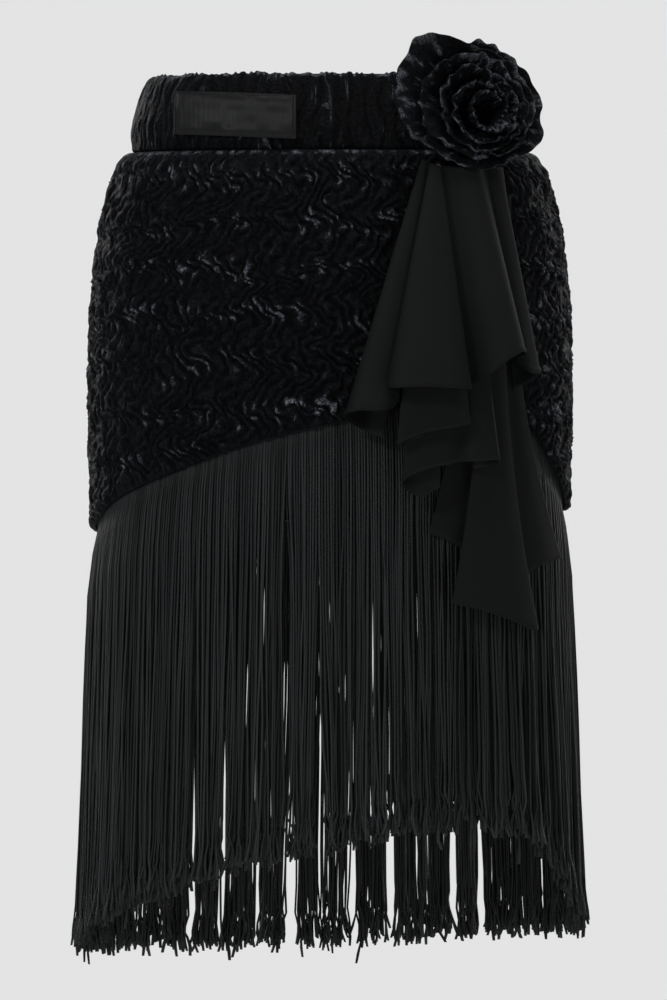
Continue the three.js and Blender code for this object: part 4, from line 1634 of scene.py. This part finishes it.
@dataclass
class RolledRose:
    """A folded velvet strip rolled up from its heart outwards, on a small round base.

    The strip is built facing up, then turned to face forwards and a little sideways. Its rim
    waves in and out, as a sine of the angle, and its outer turns are looser, with deeper ruffles
    and crumples than the heart.
    """

    seat_x: float = 97.5
    seat_z: float = 1.0
    turn: float = math.radians(29)
    tip: float = math.radians(12)
    base_radius: float = 25.0
    base_thick: float = 3.0
    turns: float = 5.2
    end: float = math.radians(97)
    heart_height: float = 36.0
    end_height: float = 20.0
    half: float = 1.0  # of its thickness
    tuck: float = 5.0  # how far its outer end is tucked down and in
    turn_length: float = 180.0  # of the strip, in a turn
    side_length: float = 34.0  # of the strip, from foot to rim
    ruffle: float = 2.2
    crumple: float = 2.0
    sink: float = 5.0  # how far the heart lies below the outer petals' middle
    drift: float = -9.5  # of the outer petals, sideways
    stretch: float = 1.13  # of the outer petals, sideways
    steps: int = 900
    side_points: int = 20
    edge_points: int = 6
    base_steps: int = 48
    base_rings: Triple = (1.0, 0.55, 0.02)

    def placed(self, local: Array) -> Array:
        """Turns points (u, v, h) to face forwards and sets them on the waistband.

        Args:
            local: the points, of shape (..., 3).

        Returns:
            The points in place, of the same shape.
        """
        seat = BAND.front_point(self.seat_x, self.seat_z, SEAT_GAP)
        tilt = math.pi / 2 - self.tip
        u, v, h = local[..., 0], local[..., 1], local[..., 2]
        y = v * math.cos(tilt) - h * math.sin(tilt)
        z = v * math.sin(tilt) + h * math.cos(tilt)
        x, y = (
            u * math.cos(self.turn) - y * math.sin(self.turn),
            u * math.sin(self.turn) + y * math.cos(self.turn),
        )
        return np.stack([x, y, z], axis=-1) + seat

    def spine(self, back: Array, up: Array, along: Array) -> tuple[Array, Array]:
        """The strip's middle surface. A quadratic curve runs from foot to rim past the belly.

        Args:
            back: turns counted back from the strip's outer end, as a column.
            up: shares of the way from foot to rim, as a row.
            along: distances along the strip from its heart, as a column.

        Returns:
            Points (radius, level), and the rim's height.
        """
        wave = np.sin((self.end - FULL_TURN * back) * 3.3 + 1) * petal(4)(back)
        loose = np.clip(1 - back / self.turns, 0, 1)
        ruffle = self.ruffle * Drift(71, 10, 9).at(along, 0.0) * (0.25 + 0.75 * loose)
        tuck = self.tuck * ease(1 - back / 0.08)
        height = lerp(self.end_height, self.heart_height, back / self.turns) - tuck
        height = height + 1.7 * Drift(72, 13, 9).at(along, 0.0)
        foot = petal(1)(back)
        belly = petal(2)(back) + 0.4 * wave
        rim = petal(3)(back) + 0.8 * wave + ruffle - tuck
        swell = 2 * belly - (foot + rim) / 2
        radius = foot * (1 - up) ** 2 + 2 * swell * up * (1 - up) + rim * up**2
        spot = (along, up * self.side_length)
        crumple = Drift(77, 7, 9).at(*spot) + 1.2 * Drift(78, 3.2, 4).at(*spot)
        radius = radius + self.crumple * crumple * ease(up / 0.35) * (0.45 + 0.55 * loose)
        low = self.base_thick - 1.0
        return np.stack([radius, low + (height - low) * up], axis=-1), height

    def section(self, spine: Array, up: Array, along: Array) -> Array:
        """The folded strip round its spine: up its outside, over the rim and down its inside.

        Args:
            spine: points (radius, level) of the strip's middle.
            up: shares of the way from foot to rim, as a row.
            along: distances along the strip from its heart, as a column.

        Returns:
            Points (radius, level), a row for each step along the strip.
        """
        step = np.gradient(spine, axis=1)
        size = np.hypot(step[..., 1], step[..., 0])
        side = np.stack([step[..., 1] / size, -step[..., 0] / size], axis=-1)
        pucker = Drift(73, 3.4, 7).at(along, up * 30) * 0.75 + Drift(74, 8, 12).at(along, up * 30)
        half = self.half + 0.5 * pucker
        outside = spine + half[..., None] * side
        inside = spine - half[..., None] * side
        tip, top = spine[:, -1:], side[:, -1:]
        ahead = np.stack([-top[..., 1], top[..., 0]], axis=-1)
        swing = np.arange(1, self.edge_points + 1) / (self.edge_points + 1) * math.pi
        swing = swing[None, :, None]
        edge = tip + half[:, -1:, None] * (np.cos(swing) * top + np.sin(swing) * ahead)
        return np.concatenate([outside, edge, inside[:, ::-1]], axis=1)

    @staticmethod
    def painted_light_and_tone(along: Array, count: int) -> Array:
        """Painted highlights as broken streaks along the rim and curls elsewhere, over a darker ground, for
        count points of a section.

        Args:
            along: distances along the strip from its heart, as a column.
            count: how many points a section has.

        Returns:
            Values from -1, darkest, to 1 in a full painted highlight.
        """
        pile = np.linspace(0, 1, count)[None, :]
        strokes = ease(0.36 + 1.5 * Drift(75, 3.4, 0.08).at(along, pile))
        rimmed = bell(np.abs(pile - 0.5) - 0.05, 0.06)
        curls = bell(Drift(76, 2.0, 0.05).at(along, pile), 0.30)
        # painted highlights along the rims and in curls, broken into patches
        painted_light_and_tone = np.maximum(0.60 * rimmed, 0.72 * curls) * strokes
        # elsewhere darker, by an uneven amount
        return painted_light_and_tone - (1 - painted_light_and_tone) * (0.45 + 0.35 * Drift(79, 5, 0.12).at(along, pile))

    def strip(self, wall: Wall) -> None:
        """Adds the rolled strip, closed at both ends.

        Args:
            wall: the wall that takes the strip.
        """
        back = np.linspace(self.turns, 0, self.steps)[:, None]
        angle = self.end - FULL_TURN * back
        up = np.linspace(0, 1, self.side_points)[None, :]
        along = (self.turns - back) * self.turn_length
        spine, height = self.spine(back, up, along)
        section = self.section(spine, up, along)
        outward = np.clip(section[..., 1] / height, 0, 1) * petal(4)(back)
        stretch = lerp(1.0, self.stretch, outward)
        u = self.drift * outward + section[..., 0] * stretch * np.cos(angle)
        v = section[..., 0] * np.sin(angle) - self.sink * (1 - outward)
        local = np.stack([u, v, section[..., 1]], axis=-1)
        index = wall.place(self.placed(local), None, self.painted_light_and_tone(along, section.shape[1]))
        around = closed(index)
        a, b = around[:-1, :-1], around[:-1, 1:]
        c, d = around[1:, :-1], around[1:, 1:]
        wall.faces(np.stack([a, c, d, b], axis=-1))
        half_count = section.shape[1] // 2
        for ring, forward in ((index[0], True), (index[-1], False)):
            near, far = ring[:half_count], ring[::-1][:half_count]
            rungs = [near[:-1], near[1:], far[1:], far[:-1]]
            wall.faces(np.stack(rungs if forward else rungs[::-1], axis=-1))

    def base(self, wall: Wall) -> None:
        """Adds the round base, whose back follows the waistband.

        Args:
            wall: the wall that takes the base.
        """
        around = FULL_TURN * np.arange(self.base_steps)[None, :] / self.base_steps
        radius = self.base_radius * np.array(self.base_rings)[:, None]
        flat = np.stack(
            [radius * np.cos(around), radius * np.sin(around), self.base_thick + 0 * radius * around],
            axis=-1,
        )
        front = self.placed(flat)
        back = BAND.front_point(front[..., 0], front[..., 2], SEAT_GAP)
        top, bottom = closed(wall.place(front)), closed(wall.place(back))
        wall.grid(top, inside=True)
        wall.grid(bottom)
        wall.bridge(bottom[0], top[0])
        wall.faces(top[-1, :-1][None, :])
        wall.faces(bottom[-1, :-1][None, ::-1])

    def build(self, wardrobe: Wardrobe) -> bpy.types.Object:
        """The rose, in place of its solid.

        Args:
            wardrobe: the finishes.

        Returns:
            The piece.
        """
        wall = Wall()
        self.strip(wall)
        self.base(wall)
        piece = add_piece("velvet_rose", wall, [wardrobe.velvet], "rose")
        return piece


@dataclass
class WovenLabel:
    """A bare woven label, sewn round its edge to the waistband."""

    left: float = -112.0
    right: float = -24.0
    left_top: float = 15.4
    right_top: float = 11.0
    height: float = 31.4
    thick: float = 0.7
    out: float = 0.9
    columns: int = 120
    rows: int = 44
    pitch: float = 2.6  # from one stitch to the next
    stitch: float = 1.9
    inset: float = 1.0  # from the label's edge to the row of stitches
    radius: float = 0.16  # of the thread

    def surface(self, across: Array, down: Array, out: Array) -> Array:
        """A point of the label, across and down it as shares, moved out.

        Args:
            across: shares of the way from left to right.
            down: shares of the way from top to bottom.
            out: how far outside the seat the points lie.

        Returns:
            Points of shape (..., 3).
        """
        x = lerp(self.left, self.right, across)
        z = lerp(self.left_top, self.right_top, across) - self.height * down
        return BAND.front_point(x, z, self.out + out)

    def build(self, wardrobe: Wardrobe) -> list[bpy.types.Object]:
        """The label in place of its solid, and its row of stitches.

        Args:
            wardrobe: the finishes.

        Returns:
            The two pieces.
        """
        across = np.linspace(0, 1, self.columns)[None, :]
        down = np.linspace(0, 1, self.rows)[:, None]
        width = self.right - self.left
        edge = np.minimum(
            np.minimum(across, 1 - across) * width, np.minimum(down, 1 - down) * self.height
        )
        pucker = 0.55 * Drift(81, 8, 7).at(across * width, down * self.height)
        pillow = 0.9 * ease(edge / 5) + pucker
        border = 0.30 * bell(edge - 2.6, 0.45)
        fold = 0.45 * bell(edge, 0.6)
        uv = np.stack(np.broadcast_arrays(across * width, down * self.height), axis=-1)
        wall = Wall()
        outer = wall.place(self.surface(across, down, self.thick + pillow + border + fold), uv)
        inner = wall.place(self.surface(across, down, pillow - 0.1), uv)
        wall.shell(outer, inner)
        label = add_piece("satin_label", wall, [wardrobe.satin], "label")
        stitches = self.stitches(wardrobe)
        return [label, stitches]

    def stitches(self, wardrobe: Wardrobe) -> bpy.types.Object:
        """Short stitches over the label's edge: small tubes that arch from hole to hole.

        Args:
            wardrobe: the finishes.

        Returns:
            The piece.
        """
        width = self.right - self.left
        count_u, count_v = int(width / self.pitch), int(self.height / self.pitch)
        side_u = (np.arange(count_u) + 0.5) / count_u
        side_v = (np.arange(count_v) + 0.5) / count_v
        hold_u, hold_v = self.inset / width, self.inset / self.height
        middles = np.concatenate(
            [
                np.stack([side_u, 0 * side_u + hold_v], -1),
                np.stack([side_u, 0 * side_u + 1 - hold_v], -1),
                np.stack([0 * side_v + hold_u, side_v], -1),
                np.stack([0 * side_v + 1 - hold_u, side_v], -1),
            ]
        )
        flat = np.repeat([0.0, 1.0], [2 * count_u, 2 * count_v])
        reach = np.stack([(1 - flat) / width, flat / self.height], -1) * self.stitch / 2
        t = np.linspace(-1, 1, 5)
        spots = middles[:, None, :] + reach[:, None, :] * t[None, :, None]
        arch = 0.62 + self.thick + 0.25 * (1 - t[None, :] ** 2)
        turn = FULL_TURN * np.arange(4) / 4
        lifted = arch[..., None] + self.radius * np.sin(turn)
        shift = self.radius * np.cos(turn)
        across = spots[..., 0][..., None] + flat[:, None, None] * shift / width
        down = spots[..., 1][..., None] + (1 - flat)[:, None, None] * shift / self.height
        wall = Wall()
        index = wall.place(self.surface(across, down, lifted))
        after = np.roll(index, -1, axis=2)
        quads = np.stack([index[:, :-1], after[:, :-1], after[:, 1:], index[:, 1:]], axis=-1)
        upright = flat > 0.5
        wall.faces(quads[~upright][..., ::-1])
        wall.faces(quads[upright])
        wall.faces(np.where(upright[:, None], index[:, 0, ::-1], index[:, 0]))
        wall.faces(np.where(upright[:, None], index[:, -1], index[:, -1, ::-1]))
        return add_piece("label_stitches", wall, [wardrobe.thread], "label")


@dataclass(frozen=True)
class Lamp:
    """A square soft light: its place, its size in metres and its power in watts."""

    name: str
    spot: Triple
    size: float
    power: float


@dataclass
class Studio:
    """A pale floor, soft lights and the camera."""

    distance: float = 8.0
    view_height: float = 0.72  # metres of the picture's height at the skirt's middle
    sensor: float = 36.0
    centre: Triple = (0.0025, 0.0, -0.2772)
    floor_height: float = -1.03
    floor_radius: float = 7.0
    pale: Colour = (0.77, 0.772, 0.772)
    paper: Colour = (0.075, 0.075, 0.075)
    glow: float = 0.93
    sky: Colour = (0.95, 0.97, 1.0)
    sky_strength: float = 0.14
    lamps: tuple[Lamp, ...] = (
        Lamp("key", (-2.6, -3.8, 2.1), 0.8, 72.0),
        Lamp("fill", (2.8, -3.6, 0.3), 1.8, 7.0),
        Lamp("crown", (0.3, -0.4, 3.6), 1.5, 80.0),
        Lamp("rear_left", (-2.8, 3.4, 1.2), 1.6, 80.0),
        Lamp("rear_right", (2.8, 3.4, 1.2), 1.6, 80.0),
    )

    def floor(self) -> None:
        """A round pale floor well below the fringe, with a glow of its own that keeps it even."""
        bpy.ops.mesh.primitive_circle_add(
            vertices=96, radius=self.floor_radius, fill_type="NGON", location=(0, 0, self.floor_height)
        )
        floor = bpy.context.object
        floor.name = "studio_floor"
        bench = NodeBench("studio_paper")
        paper = {"Base Color": (*self.paper, 1.0), "Roughness": 0.9, "Specular IOR Level": 0.0}
        glow = {"Emission Color": (*self.pale, 1.0), "Emission Strength": self.glow}
        finish = bench.finish({**paper, **glow})
        floor.data.materials.append(finish)

    def world(self) -> None:
        """A pale surround that is dimmer as a light than it looks."""
        world = bpy.data.worlds.new("studio_surround")
        bpy.context.scene.world = world
        world.use_nodes = True
        tree = world.node_tree
        tree.nodes.clear()
        seen = tree.nodes.new("ShaderNodeBackground")
        seen.inputs["Color"].default_value = (*self.pale, 1.0)
        lit = tree.nodes.new("ShaderNodeBackground")
        lit.inputs["Color"].default_value = (*self.sky, 1.0)
        lit.inputs["Strength"].default_value = self.sky_strength
        path = tree.nodes.new("ShaderNodeLightPath")
        mix = tree.nodes.new("ShaderNodeMixShader")
        output = tree.nodes.new("ShaderNodeOutputWorld")
        tree.links.new(path.outputs["Is Camera Ray"], mix.inputs[0])
        tree.links.new(lit.outputs[0], mix.inputs[1])
        tree.links.new(seen.outputs[0], mix.inputs[2])
        tree.links.new(mix.outputs[0], output.inputs["Surface"])

    def light(self, lamp: Lamp) -> None:
        """Hangs a lamp and aims it at the skirt's middle.

        Args:
            lamp: the lamp.
        """
        data = bpy.data.lights.new(lamp.name, "AREA")
        data.size = lamp.size
        data.energy = lamp.power
        light = bpy.data.objects.new(lamp.name, data)
        bpy.context.scene.collection.objects.link(light)
        light.location = lamp.spot
        aim = Vector(self.centre) - Vector(lamp.spot)
        light.rotation_euler = aim.to_track_quat("-Z", "Y").to_euler()

    def camera(self) -> None:
        """A long lens straight at the front, as the photograph was taken."""
        data = bpy.data.cameras.new("camera")
        data.sensor_width = self.sensor
        data.lens = self.sensor * self.distance / self.view_height
        data.clip_end = 100.0
        camera = bpy.data.objects.new("camera", data)
        bpy.context.scene.collection.objects.link(camera)
        camera.location = (self.centre[0], -self.distance, self.centre[2])
        camera.rotation_euler = (math.pi / 2, 0.0, 0.0)
        bpy.context.scene.camera = camera

    def build(self) -> None:
        """Sets the stage."""
        bpy.context.scene.view_settings.view_transform = "Standard"
        self.floor()
        self.world()
        for lamp in self.lamps:
            self.light(lamp)
        self.camera()


def main() -> None:
    """Builds the stage and the garment's pieces, and reports each."""
    logging.basicConfig(level=logging.INFO, format="%(name)s %(message)s")
    Studio().build()
    wardrobe = Wardrobe()
    WaistBand().build(wardrobe)
    front, back = Crinkle(seed=100), Crinkle(seed=200)
    HipPanel("hip_front", "front_panel", Side.FRONT, front, (0.52, 0.262)).build(wardrobe)
    HipPanel("hip_back", "back_panel", Side.BACK, back, (0.52, 0.29)).build(wardrobe)
    FringeCurtain().build(wardrobe)
    for tier in CASCADE:
        tier.build(wardrobe)
    RolledRose().build(wardrobe)
    WovenLabel().build(wardrobe)


if __name__ == "__main__":
    main()
